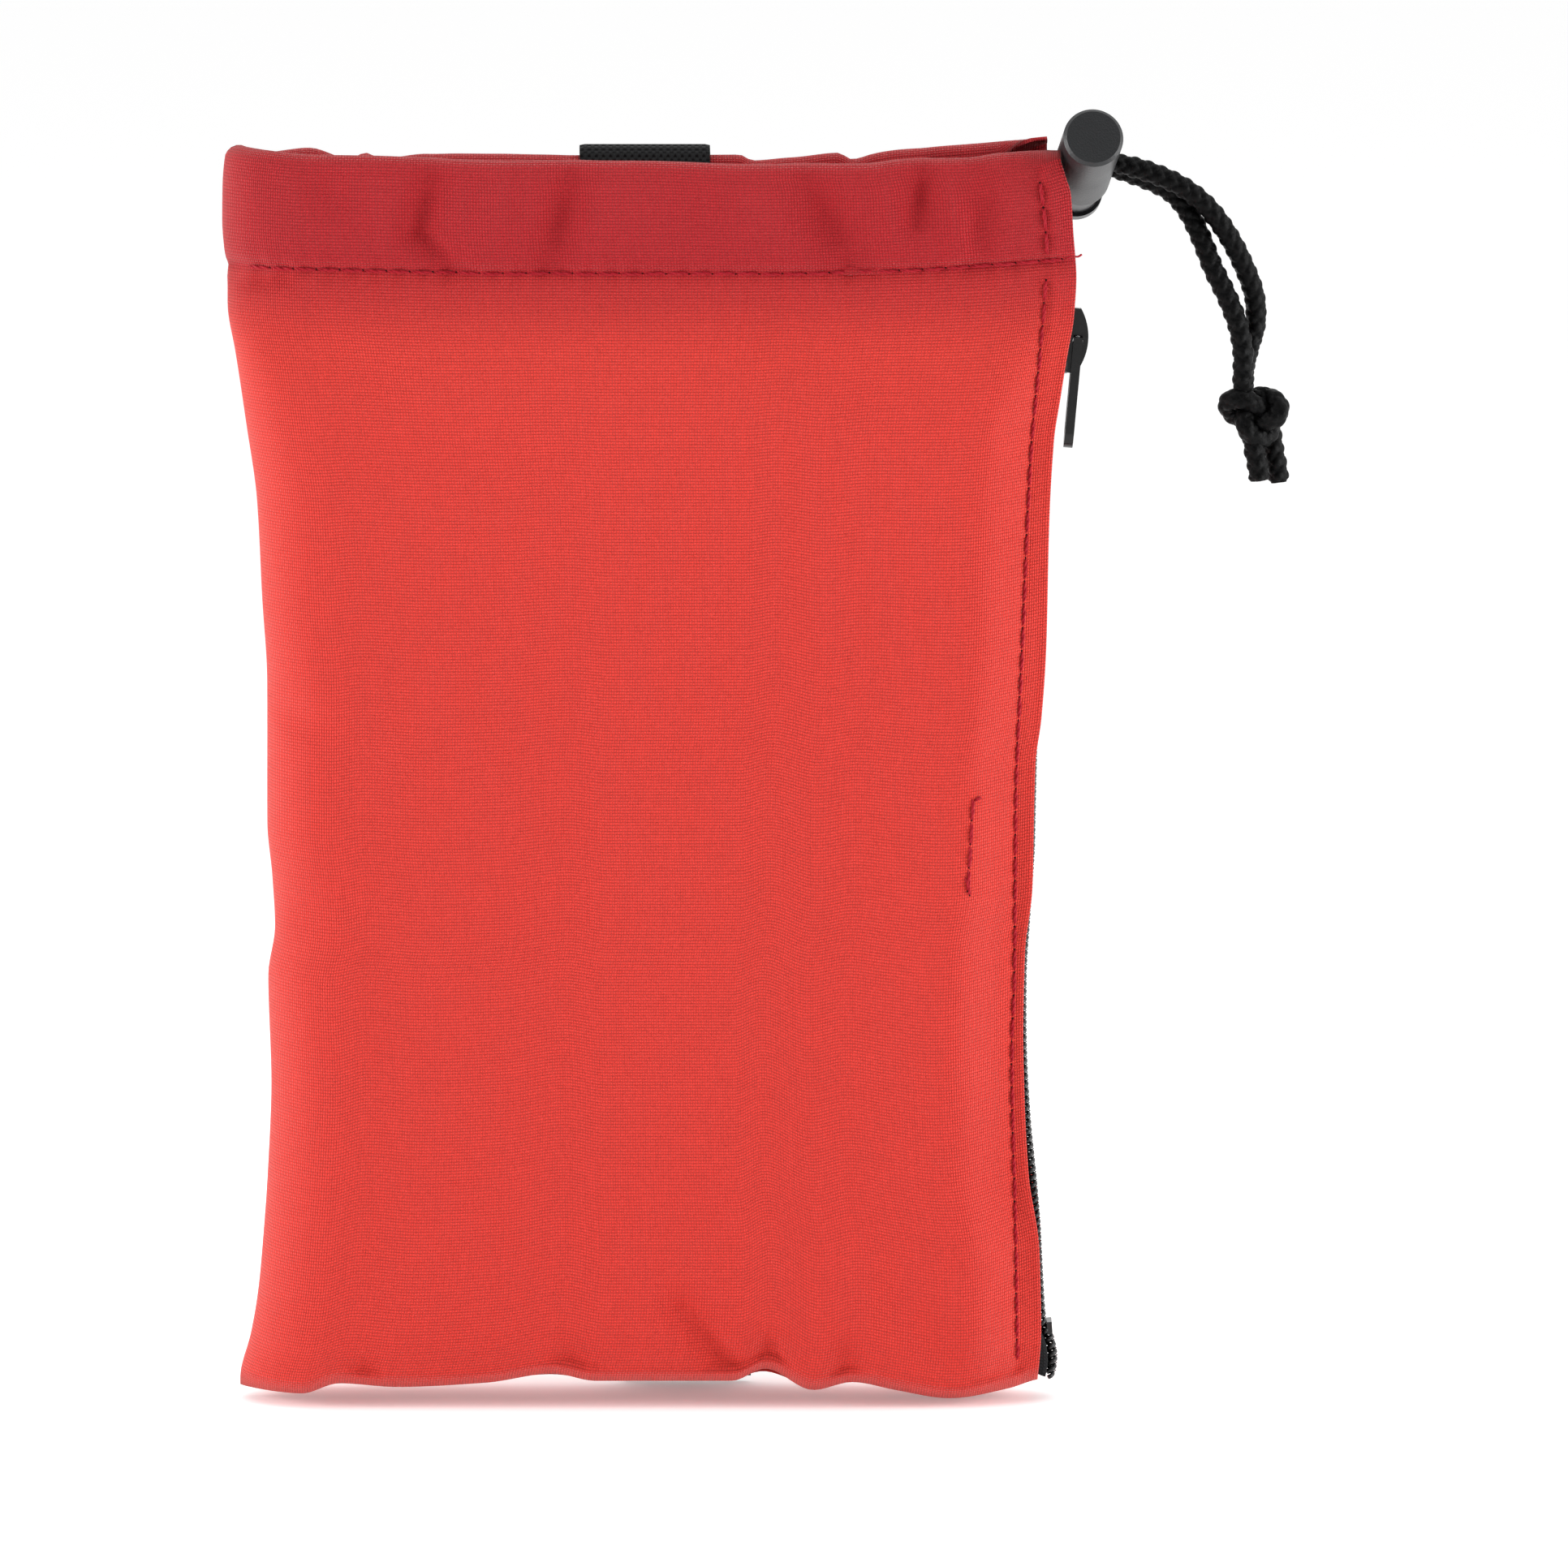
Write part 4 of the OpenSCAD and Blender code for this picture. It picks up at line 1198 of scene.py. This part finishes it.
@dataclass
class ZipAssembly:
    """The coil zip between the two flaps.

    Attributes:
        form: the pouch's shape, which holds the zip's arc.
        pitch: the spacing of the coil's turns in millimetres.
        wire_r: the radius of the coil's filament.
        low: the height of the coil's lower end.
        high: the height of its upper end.
        tape: the thickness of the tape.
    """

    form: PouchForm
    pitch: float = 1.2
    wire_r: float = 0.36
    low: float = 3.4
    high: float = 172.2
    tape: float = 0.45

    # How far the coil springs out of its arc: most at the lower end, below the slider's run
    spring_out: Profile = profile(
        (0, -0.6), (2.5, 0.2), (4.5, 1.1), (7, 1.45), (9.5, 1.1), (12.2, 0.1), (16, 0.0), (26, 0.0),
        (34, -0.3), (45, -1.0), (56, -1.3), (66, -1.2), (76, -0.6), (88, 0.0), (200, 0.0),
    )

    def middle(self, z: Any) -> Any:
        """Give the x of the coil's middle at a height."""
        return self.form.zip_x(z) + self.spring_out(z)

    def coil(self, side: int) -> bpy.types.Object:
        """Wind one half of the coil.

        Args:
            side: -1 for the front half and 1 for the back half.

        Returns:
            The piece.
        """
        turns = (self.high - self.low) / self.pitch - 1
        t = np.linspace(0, turns, round(turns * 10))
        phase = t * 2 * np.pi
        z = self.low + self.pitch * (t + (0.5 if side > 0 else 0.0)) + 0.12 * np.sin(phase)
        x = self.middle(z) + 0.6 * np.sin(phase)
        y = side * (0.95 + 1.12 * np.cos(phase))
        bundle = Bundle()
        # The turns are pressed thinner where they lock between those of the other half
        bundle.tube(np.stack([x, y, z], axis=1), self.wire_r * (0.86 + 0.14 * np.cos(phase)), sides=7)
        word = "front" if side < 0 else "back"
        # The sewing line that holds the coil to the tape
        heights = np.arange(self.low + 1, self.high - 1, self.pitch)
        for h in heights:
            xm = self.middle(h)
            below, above = (xm - 0.5, side * 1.75, h - 0.5), (xm - 0.5, side * 1.75, h + 0.5)
            bundle.tube(spline((below, (xm + 0.82, side * 1.5, h), above), 0.5), 0.11, sides=5, mark=1)
        piece = bundle.piece(f"zip_coil_{word}_half")
        return settle(piece, [COIL_NYLON, BLACK_CORD], [f"zip_coil_{word}"])

    def strip(self, side: int) -> bpy.types.Object:
        """Lay one side's tape: flat under the coil, then turned in behind the flap.

        Args:
            side: -1 for the front and 1 for the back.

        Returns:
            The piece.
        """
        f = self.form
        t = np.linspace(0, 1, 110)
        rows = []
        for off, y in ((0.0, 0.5), (0.0, 1.8), (0.0, 3.6), (-0.1, 4.55)):
            z = mix(self.low + 0.4, 173.0, t)
            rows.append(np.stack([self.middle(z) - 0.6 + off, np.full_like(z, side * y), z], axis=1))
        z = mix(self.low + 2.2, 173.0, t)
        for back in (2.6, 3.6, 5.0, 6.5):
            ease = (1 - math.cos(math.pi * (1 - back / f.flap_ease))) / 2
            depth = mix(f.depth(z), f.flap_depth(z), ease) - 1.35
            rows.append(np.stack([f.right(z, side) - back, side * depth, z], axis=1))
        points = np.array(rows).transpose(1, 0, 2)
        u = np.array([0.5, 1.8, 3.2, 4.3, 5.9, 6.9, 8.3, 9.8])
        uv = np.stack(np.broadcast_arrays(u[None, :], z[:, None]), axis=2)
        bundle = Bundle()
        bundle.grid(points, uv, flip=side < 0)
        word = "front" if side < 0 else "back"
        piece = bundle.piece(f"zip_tape_{word}_half")
        sub = piece.modifiers.new("smooth", "SUBSURF")
        sub.levels = sub.render_levels = 1
        thicken(piece, self.tape)
        return settle(piece, [ZIP_TAPE], [f"zip_tape_{word}"])

    def build(self) -> None:
        """Make the zip, and dress the CAD slider, pull and stops."""
        for side in (-1, 1):
            self.coil(side)
            self.strip(side)
        for node in ("zip_slider", "zip_pull", "zip_top_stop", "zip_bottom_stop"):
            dress(node, BLACK_ENAMEL)


def dress(node: str, finish: Finish) -> None:
    """Give a carried CAD node its material.

    Args:
        node: the node's name.
        finish: its finish.
    """
    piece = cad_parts[node]
    piece.data.materials.clear()
    piece.data.materials.append(finish.material())
    LOG.info("dressed %s", node)


# ---------------------------------------------------------------- cord and lock


def braid(radius: float) -> Callable[[np.ndarray, np.ndarray], np.ndarray]:
    """Make the relief of a round braid of eight strands each way.

    Args:
        radius: the cord's radius in millimetres.

    Returns:
        A function of angle and length that gives what to add to the radius.
    """
    strands, lay = 4, 4.2

    def relief(angle: np.ndarray, along: np.ndarray) -> np.ndarray:
        """Give the braid's height.

        Args:
            angle: the angle round the cord in radians.
            along: the length along it in millimetres.

        Returns:
            What to add to the radius.
        """
        turn = angle / (2 * np.pi) * strands
        a, b = turn + along / lay * strands / 2, turn - along / lay * strands / 2
        over = ((np.floor(a) + np.floor(b)) % 2) < 1
        across = np.where(over, a - np.floor(a), b - np.floor(b))
        length = np.where(over, b - np.floor(b), a - np.floor(a))
        hump = np.sqrt(np.clip(1 - (2 * across - 1) ** 2, 0, 1)) * (0.55 + 0.45 * np.sin(np.pi * length))
        return 0.30 * radius * (hump - 0.55)

    return relief


@dataclass
class Drawcord:
    """The drawcord: its run in the hem, its two free tails, their knot and ends, in millimetres.

    Attributes:
        diameter: the cord's diameter.
        upper: the route of the upper tail.
        lower: the route of the lower tail.
        ends: the routes of the two ends below the knot.
        knot_at: the middle of the knot.
    """

    diameter: float = 3.0
    upper: tuple[Point, ...] = (
        (50, -5.55, 185.5), (52, -5.5, 185.5), (54, -5.2, 186), (56, -4, 187.2), (58, -2.1, 189.2),
        (60, -0.2, 190.9), (62.3, 1, 191.8), (64.5, 1.3, 191.9), (67, 1.6, 191.9), (69.5, 1.8, 191.9),
        (72.2, 2, 191.6), (77.2, 2, 190.2), (81.9, 2, 188), (85.6, 2.3, 185), (88.6, 2.8, 181),
        (91, 3.4, 176.5), (92.9, 3.9, 171.5), (93.2, 4.2, 167), (92.2, 4.4, 163), (91.5, 4.3, 159.8),
        (91.4, 4, 156.5),
    )
    lower: tuple[Point, ...] = (
        (50, 5.55, 185.5), (52, 5.5, 185.6), (54, 5.3, 186.4), (56, 4.8, 187.8), (58, 4.2, 189.3),
        (60, 3.9, 190.3), (62, 3.9, 190.7), (64.5, 4.1, 190.7), (66.7, 4.3, 190.7), (69.5, 4.6, 190.7),
        (71.5, 4.7, 190.6), (76.4, 4.8, 189), (80.2, 4.6, 187), (82.8, 4.1, 184), (84.8, 3.4, 180),
        (86.6, 2.6, 175.5), (88.8, 1.9, 171), (90.5, 1.3, 166.5), (91.2, 0.9, 162.5), (91.2, 0.8, 159.5),
        (91.2, 0.9, 156.5),
    )
    ends: tuple[tuple[Point, ...], ...] = (
        ((92.6, 0.9, 150.5), (93, 0.9, 147.6), (93.5, 0.9, 145.2), (93.8, 0.9, 142.9)),
        ((95.6, 4.1, 150.5), (96.1, 4.1, 147.2), (96.6, 4.1, 144.7), (96.9, 4.1, 142.3)),
    )
    knot_at: Point = (93.1, 2.5, 153.2)

    def tail(
        self, name: str, route: Sequence[Point], node: str
    ) -> None:
        """Args:
            name: the piece's name.
            route: its route in millimetres.
            node: the CAD node that it stands for.
        """
        line = spline(route, 0.16)
        bundle = Bundle()
        radius = self.diameter / 2
        # The lock's spring squeezes the cord where it passes through
        squeezed = 0.14 * (1 - smooth((line[:, 0] - 71) / 4))
        bundle.tube(line, radius - squeezed, sides=32, shape=braid(radius))
        piece = settle(bundle.piece(name), [BLACK_CORD], [node])

    def knot(self) -> bpy.types.Object:
        """Tie both tails in one overhand knot.

        Returns:
            The knot.
        """
        bundle = Bundle()
        for shift, swell in ((-1.3, 1.06), (1.3, 0.98)):
            t = np.linspace(0, 2 * np.pi, 60)
            x = self.knot_at[0] + 1.34 * swell * (np.sin(t) + 2 * np.sin(2 * t))
            z = self.knot_at[2] + 1.12 * swell * (np.cos(t) - 2 * np.cos(2 * t)) - 0.1
            y = self.knot_at[1] + shift - 1.25 * np.sin(3 * t)
            lean = 0.25 * (z - self.knot_at[2])
            line = spline(np.stack([x - lean, y, z], axis=1), 0.17)
            bundle.tube(line, 1.5, sides=28, shape=braid(1.5))
        return settle(bundle.piece("overhand_knot"), [BLACK_CORD], ["cord_knot"])

    def cut_ends(self) -> bpy.types.Object:
        """Make the two cut and melted ends.

        Returns:
            The piece.
        """
        bundle = Bundle()
        for route in self.ends:
            line = spline(route, 0.16)
            t = np.linspace(0, 1, len(line))
            radius = 1.5 - 0.28 * smooth((t - 0.93) / 0.07)
            bundle.tube(line, radius, sides=32, shape=braid(1.5))
        return settle(bundle.piece("cord_cut_ends"), [BLACK_CORD], ["cord_ends"])

    def in_hem(self, form: PouchForm) -> None:
        """Run the cord through the hem, round the left edge.

        Args:
            form: the pouch's shape.
        """
        level, inset = 185.5, 2.45
        k = np.concatenate([np.linspace(2.0, 0, 60), np.linspace(0, 2.0, 60)[1:]])
        side = np.concatenate([-np.ones(60), np.ones(59)])
        x, y = form.section(k, np.full_like(k, level), -1)
        x = np.where(k < 1, x + inset * np.cos(np.clip(k, 0, 1) * np.pi / 2), x)
        y = np.where(k < 1, np.maximum(y - inset * np.sin(np.clip(k, 0, 1) * np.pi / 2), 0), y - inset)
        y = np.maximum(y - form.crease(x, level) * smooth(k / 0.7), 0)
        line = np.stack([x, side * y, np.full_like(k, level)], axis=1)
        line = spline(line[(line[:, 0] < 50)], 0.3)
        bundle = Bundle()
        bundle.tube(line, 1.25, sides=20, shape=braid(1.25), up=(0, 0, 1))
        settle(bundle.piece("drawcord_run_in_hem"), [BLACK_CORD], ["drawcord_in_hem"])

    def build(self, form: PouchForm) -> None:
        knot, ends = self.knot(), self.cut_ends()
        self.tail("drawcord_tail_upper", self.upper, "cord_tail_upper")
        self.tail("drawcord_tail_lower", self.lower, "cord_tail_lower")
        self.in_hem(form)


@dataclass
class CordLock:
    """The sprung cord lock, whose CAD nodes keep their shape."""

    def build(self) -> None:
        """Dress the barrel, the plunger and the spring."""
        dress("lock_barrel", LOCK_PLASTIC)
        dress("lock_plunger", PLUNGER_PLASTIC)
        dress("lock_spring", SPRING_STEEL)


# ---------------------------------------------------------------- strap, tabs and blanket


@dataclass
class BackStrap:
    """The webbing strap down the back, from inside the mouth to under the bottom edge.

    Attributes:
        width: the webbing's width in millimetres.
        thickness: its thickness.
        rib: the spacing of its ribs.
        top_x: the x of its middle at the rim.
        base_x: the x of its middle at the floor.
    """

    width: float = 20.0
    thickness: float = 1.2
    rib: float = 1.1
    top_x: float = -0.6
    base_x: float = 5.6

    def face(self) -> np.ndarray:
        """Bend the webbing over the rim and down the back.

        Returns:
            Its middle line, as rows of y and z.
        """
        rim_y, fold_z, r = 5.55, 190.55, 3.2
        angles = [math.radians(a) for a in range(0, 181, 20)]
        bend = [(rim_y - r * math.cos(a), fold_z + r * math.sin(a)) for a in angles]
        down = [
            (8.75, 178.5), (10.2, 172.5), (14.2, 162), (17.5, 145), (17.75, 110), (17.75, 75), (17.75, 40),
            (16.6, 21), (14.4, 11), (13.4, 6.5), (13.2, 3.2), (12.9, 0.9),
        ]
        return np.array([(rim_y - r, fold_z - 8), (rim_y - r, fold_z - 4), *bend, *down])

    def build(self) -> None:
        """Make the strap and its two rows of stitching."""
        yz = self.face()
        line = spline([(0.0, y, z) for y, z in yz], 0.14)
        along = distances(line)
        _, out = frames(line, (1.0, 0.0, 0.0))
        middle = mix(self.base_x, self.top_x, line[:, 2] / 193)
        ribs = 0.13 * np.abs(np.sin(np.pi * along / self.rib)) ** 0.7
        t = np.linspace(-1, 1, 27)
        edge = 1 - 0.28 * np.clip((np.abs(t) - 0.93) / 0.07, 0, 1)
        bundle = Bundle()
        for face in (1, -1):
            lift = face * (self.thickness / 2 - 0.13 + ribs)[:, None] * edge[None, :]
            points = line[:, None, :] + lift[..., None] * out[:, None, :]
            points[..., 0] = middle[:, None] + t[None, :] * self.width / 2
            uv = np.stack(np.broadcast_arrays(t[None, :] * self.width / 2, along[:, None]), axis=2)
            bundle.grid(points, uv, flip=face > 0)
        rows, columns = len(line), len(t)
        lower = rows * columns
        rims: list[tuple[int, ...]] = []
        for r in range(rows - 1):
            a, b = r * columns, (r + 1) * columns
            rims.append((a, b, lower + b, lower + a))
            rims.append((a + columns - 1, lower + a + columns - 1, lower + b + columns - 1, b + columns - 1))
        for c in range(columns - 1):
            rims.append((c, lower + c, lower + c + 1, c + 1))
            e = (rows - 1) * columns + c
            rims.append((e, e + 1, lower + e + 1, lower + e))
        bundle.faces += rims
        bundle.marks += [0] * len(rims)
        settle(bundle.piece("ribbed_back_strap"), [BLACK_WEBBING], ["back_strap"])
        self.sew("strap_thread_top", (9.55, 9.55), (180.5, 189.0), "strap_stitching_top")
        self.sew("strap_thread_bottom", (14.15, 13.95), (5.9, 3.4), "strap_stitching_bottom")

    def sew(self, name: str, depths: tuple[float, float], heights: tuple[float, float], node: str) -> None:
        """Sew two rows of stitches across the strap.

        Args:
            name: the piece's name.
            depths: the y of each row.
            heights: the z of each row.
            node: the CAD node that it stands for.
        """
        bundle = Bundle()
        for y, z in zip(depths, heights):
            middle = mix(self.base_x, self.top_x, z / 193)
            for x in np.arange(middle - 7.6, middle + 6.5, 3.0):
                t = np.linspace(0, 1, 8)
                line = np.stack([x + 2.5 * t, y + 0.22 * np.sin(np.pi * t) - 0.1, np.full_like(t, z)], axis=1)
                bundle.tube(line, 0.2, sides=8, up=(0, 0, 1))
        settle(bundle.piece(name), [RED_THREAD], [node])


@dataclass
class FoldedBlanket:
    """The glass cloth blanket, folded in eight across and then in six along, in millimetres.

    Attributes:
        side: the blanket's side when it is laid flat.
        across: the layers that its width is folded into.
        along: the layers that its length is folded into.
        layer: the spacing of the layers.
        left: the x of the pack's left side.
        floor: the z of its underside.
        top: the z of its top.
        edge_round: the rounding of the pack's left and right edges.
        end_round: the rounding of its top and bottom.
    """

    side: float = 900.0
    across: int = 8
    along: int = 6
    layer: float = 0.455
    left: float = -56.9
    floor: float = 6.2
    top: float = 150.6
    edge_round: float = 10.0
    end_round: float = 14.0

    def fold(
        self, count: int, length: float, gap: float, steps: int
    ) -> tuple[np.ndarray, np.ndarray, np.ndarray]:
        """Fold a strip to and fro.

        Args:
            count: how many runs it has.
            length: the length of one run.
            gap: the distance between runs.
            steps: how many points each run has.

        Returns:
            The place along a run and across the runs, and the length along the strip.
        """
        a, b, flat = [], [], []
        turn = gap / 2
        for i in range(count):
            way = 1 if i % 2 == 0 else -1
            t = np.linspace(0, 1, steps)
            run = turn + (length - 2 * turn) * t
            a += list(run if way > 0 else length - run)
            b += [i * gap] * steps
            flat += list(i * length + run)
            if i < count - 1:
                for q in np.linspace(0, math.pi, 6)[1:-1]:
                    end = length - turn + turn * math.sin(q)
                    a.append(end if way > 0 else length - end)
                    b.append(i * gap + turn * (1 - math.cos(q)))
                    flat.append((i + 1) * length - turn + 2 * turn * q / math.pi)
        return np.array(a), np.array(b), np.array(flat)

    def build(self) -> None:
        width, height = self.side / self.across, self.top - self.floor
        x, off, flat_x = self.fold(self.across, width - 0.6, self.layer, 14)
        bundle_t = (self.across - 1) * self.layer
        z, y, flat_z = self.fold(self.along, height, bundle_t + self.layer, 22)
        step = np.gradient(np.stack([z, y], axis=1), axis=0)
        step /= np.linalg.norm(step, axis=1)[:, None]
        normal = np.stack([-step[:, 1], step[:, 0]], axis=1)
        shift = off - bundle_t / 2
        zz = z[:, None] + normal[:, 0][:, None] * shift[None, :]
        yy = y[:, None] + normal[:, 1][:, None] * shift[None, :]
        yy = yy - (self.along - 1) * (bundle_t + self.layer) / 2
        xx = np.broadcast_to(self.left + x, zz.shape)
        # The pack's edges are pressed thinner than its middle
        from_middle = np.abs(xx - self.left - width / 2)
        near_x = np.clip((from_middle - width / 2 + self.edge_round) / self.edge_round, 0, 1)
        near_z = np.clip((np.abs(zz - height / 2) - height / 2 + self.end_round) / self.end_round, 0, 1)
        press = np.sqrt(1 - 0.88 * near_x**2) * np.sqrt(1 - 0.85 * near_z**2)
        sag = 0.5 * np.sin(xx * 0.23 + 1.3 * np.round(yy)) * near_z
        points = np.stack([xx, yy * press, self.floor + np.clip(zz, 0, height) + sag], axis=2)
        uv = np.stack(np.broadcast_arrays(flat_x[None, :], flat_z[:, None]), axis=2)
        bundle = Bundle()
        bundle.grid(points, uv)
        piece = settle(bundle.piece("folded_glass_cloth"), [GLASS_CLOTH], ["fire_blanket"])
        for part, word in ((0.25, "left"), (0.75, "right")):
            self.tab(self.left + width * part, word)

    def tab(self, x: float, word: str) -> None:
        """Fold one pull tab flat on the pack.

        Args:
            x: the x of its middle.
            word: left or right.
        """
        outline = [
            (7, 0.7), (3, 0.6), (-4, 0.6), (-6.6, 0.75), (-7.4, 1.5), (-6.4, 2.2), (-3, 2.3), (3, 2.45),
            (6.4, 2.7)
        ]
        line = spline([(x, y, self.top + 0.3 + z) for y, z in outline], 0.3)
        along = distances(line)
        t = np.linspace(-1, 1, 15)
        points = np.repeat(line[:, None, :], len(t), axis=1)
        across = t[None, :] * 9.8
        points[..., 0] += across
        points[..., 2] += 0.12 * np.abs(np.sin(np.pi * along / 1.1))[:, None]
        bundle = Bundle()
        bundle.grid(points, np.stack(np.broadcast_arrays(across, along[:, None]), axis=2))
        piece = bundle.piece(f"pull_tab_{word}")
        thicken(piece, 0.75, 0.0)
        settle(piece, [BLACK_WEBBING], [f"blanket_pull_tab_{word}"])


@dataclass
class InnerTab:
    """The short tape caught inside the front, behind its bracket of stitches, in millimetres.

    Attributes:
        form: the pouch's shape.
        low: the height of its lower edge.
        high: the height of its upper edge.
        left: the x of its left edge.
        right: the x of its right edge.
    """

    form: PouchForm
    low: float = 80.0
    high: float = 96.5
    left: float = 44.0
    right: float = 50.4

    def build(self) -> None:
        """Make the tape."""
        x, z = np.linspace(self.left, self.right, 9), np.linspace(self.low, self.high, 18)
        xx, zz = np.meshgrid(x, z)
        edge = self.form.right(zz, -1)
        t = np.clip(1 - (edge - xx) / self.form.flap_ease, 0, 1)
        depth = mix(self.form.depth(zz), self.form.flap_depth(zz), (1 - np.cos(np.pi * t)) / 2) - 1.3
        bundle = Bundle()
        bundle.grid(np.stack([xx, -depth, zz], axis=2), np.stack([xx, zz], axis=2))
        piece = bundle.piece("inner_tape_tab")
        thicken(piece, 0.3, 0.0)
        settle(piece, [BLACK_WEBBING], ["inner_tab"])


# ---------------------------------------------------------------- studio


@dataclass(frozen=True)
class SoftLight:
    """One soft light that faces the pouch, in metres.

    Attributes:
        name: its name.
        place: where it hangs.
        width: its width.
        height: its height.
        power: its power in watts.
    """

    name: str
    place: Point
    width: float
    height: float
    power: float

    def hang(self, target: Point) -> None:
        """Hang it.

        Args:
            target: the point that it faces.
        """
        data = bpy.data.lights.new(self.name, "AREA")
        data.shape, data.size, data.size_y = "RECTANGLE", self.width, self.height
        data.energy, data.color = self.power, linear("#FFFFFF")[:3]
        lamp = bpy.data.objects.new(self.name, data)
        bpy.context.scene.collection.objects.link(lamp)
        lamp.location = self.place
        lamp.rotation_mode = "QUATERNION"
        lamp.rotation_quaternion = (Vector(target) - Vector(self.place)).to_track_quat("-Z", "Y")


@dataclass(frozen=True)
class LitPaper(Finish):
    """White studio paper lit from below, which keeps the ground pale.

    Attributes:
        name: the material's name.
        near_glow: how brightly it is lit right under the pouch.
        far_glow: how brightly it is lit further out.
    """

    name: str
    near_glow: float
    far_glow: float

    def build(self, tree: bpy.types.NodeTree, shader: bpy.types.Node) -> None:
        """Fill the material's tree.

        Args:
            tree: the tree, with its output.
            shader: its Principled shader.
        """
        shader.inputs["Base Color"].default_value = linear("#FFFFFF")
        shader.inputs["Roughness"].default_value = 1.0
        shader.inputs["Specular IOR Level"].default_value = 0.0
        shader.inputs["Emission Color"].default_value = linear("#FFFFFF")
        place = add_node(tree, "ShaderNodeNewGeometry").outputs["Position"]
        far = add_node(tree, "ShaderNodeVectorMath", {0: place}, operation="LENGTH").outputs["Value"]
        glow = add_node(
            tree,
            "ShaderNodeMapRange",
            {0: far, 1: 0.05, 2: 0.45, 3: self.near_glow, 4: self.far_glow},
            interpolation_type="SMOOTHSTEP",
        )
        tree.links.new(glow.outputs[0], shader.inputs["Emission Strength"])


@dataclass
class Studio:
    """The camera, the pale floor and the soft lights, in metres.

    Attributes:
        distance: how far the camera stands from the pouch.
        lens: its focal length in millimetres.
        height: how far above the horizon it looks from, in degrees.
        aim: the point that it looks at.
        dim: how bright the studio is in front of the pouch.
        bright: how bright the surround is behind it.
        paper: what the table is covered with.
        table_half: half the width of the table in millimetres.
        lights: the soft lights.
        lit_point: the point that the lights face.
    """

    distance: float = 2.0
    lens: float = 298.0
    height: float = 8.0
    aim: Point = (0.02075, 0.0, 0.0960)
    dim: float = 0.08
    bright: float = 1.05
    paper: Finish = LitPaper("white_studio_paper", 0.22, 0.1)
    table_half: float = 4000.0
    lights: tuple[SoftLight, ...] = (
        SoftLight("key_left", (-0.85, -0.22, 0.12), 0.5, 0.8, 9.2),
        SoftLight("key_right", (0.85, -0.22, 0.12), 0.5, 0.8, 8.0),
        SoftLight("top", (0.0, -0.1, 1.1), 1.2, 1.0, 2.5),
    )
    lit_point: Point = (0.01, 0.0, 0.1)

    def camera(self) -> None:
        """Set the camera."""
        data = bpy.data.cameras.new("camera")
        data.lens, data.sensor_width = self.lens, 36.0
        cam = bpy.data.objects.new("camera", data)
        bpy.context.scene.collection.objects.link(cam)
        e = math.radians(self.height)
        back = Vector((0, -math.cos(e), math.sin(e)))
        cam.location = Vector(self.aim) + back * self.distance
        cam.rotation_mode = "QUATERNION"
        cam.rotation_quaternion = (-back).to_track_quat("-Z", "Y")
        bpy.context.scene.camera = cam

    def build(self) -> None:
        """Make the floor, the lights and the pale surround."""
        scene = bpy.context.scene
        scene.view_settings.view_transform = "Standard"
        world = bpy.data.worlds.new("studio")
        scene.world = world
        world.use_nodes = True
        ground = next(n for n in world.node_tree.nodes if n.type == "BACKGROUND")
        tree = world.node_tree
        # A pale surround behind and beside the pouch, and a dim studio in front of it
        way = add_node(tree, "ShaderNodeTexCoord").outputs["Generated"]
        parts = add_node(tree, "ShaderNodeSeparateXYZ", {0: way})
        glow = add_node(
            tree,
            "ShaderNodeMapRange",
            {0: parts.outputs[1], 1: -0.95, 2: -0.15, 3: self.dim, 4: self.bright},
            interpolation_type="SMOOTHSTEP",
        )
        ground.inputs[0].default_value = linear("#FFFFFF")
        tree.links.new(glow.outputs[0], ground.inputs[1])
        h = self.table_half
        corners = np.array([[-h, -h, -0.05], [h, -h, -0.05], [h, h, -0.05], [-h, h, -0.05]])
        floor = mesh_piece("floor", corners, [(0, 1, 2, 3)])
        floor.data.materials.append(self.paper.material())
        for light in self.lights:
            light.hang(self.lit_point)


# ---------------------------------------------------------------- assembly


def main() -> None:
    """Build the scene in order."""
    logging.basicConfig(level=logging.INFO, format="%(name)s: %(message)s")
    studio = Studio()
    studio.camera()
    form = PouchForm()
    Drawcord().build(form)
    FoldedBlanket().build()
    _, front = PouchPanel(form, -1).build("front_panel")
    _, back = PouchPanel(form, 1).build("back_panel")
    Seams(front, back).build(form)
    InnerTab(form).build()
    ZipAssembly(form).build()
    CordLock().build()
    BackStrap().build()
    studio.build()


if __name__ == "__main__":
    main()
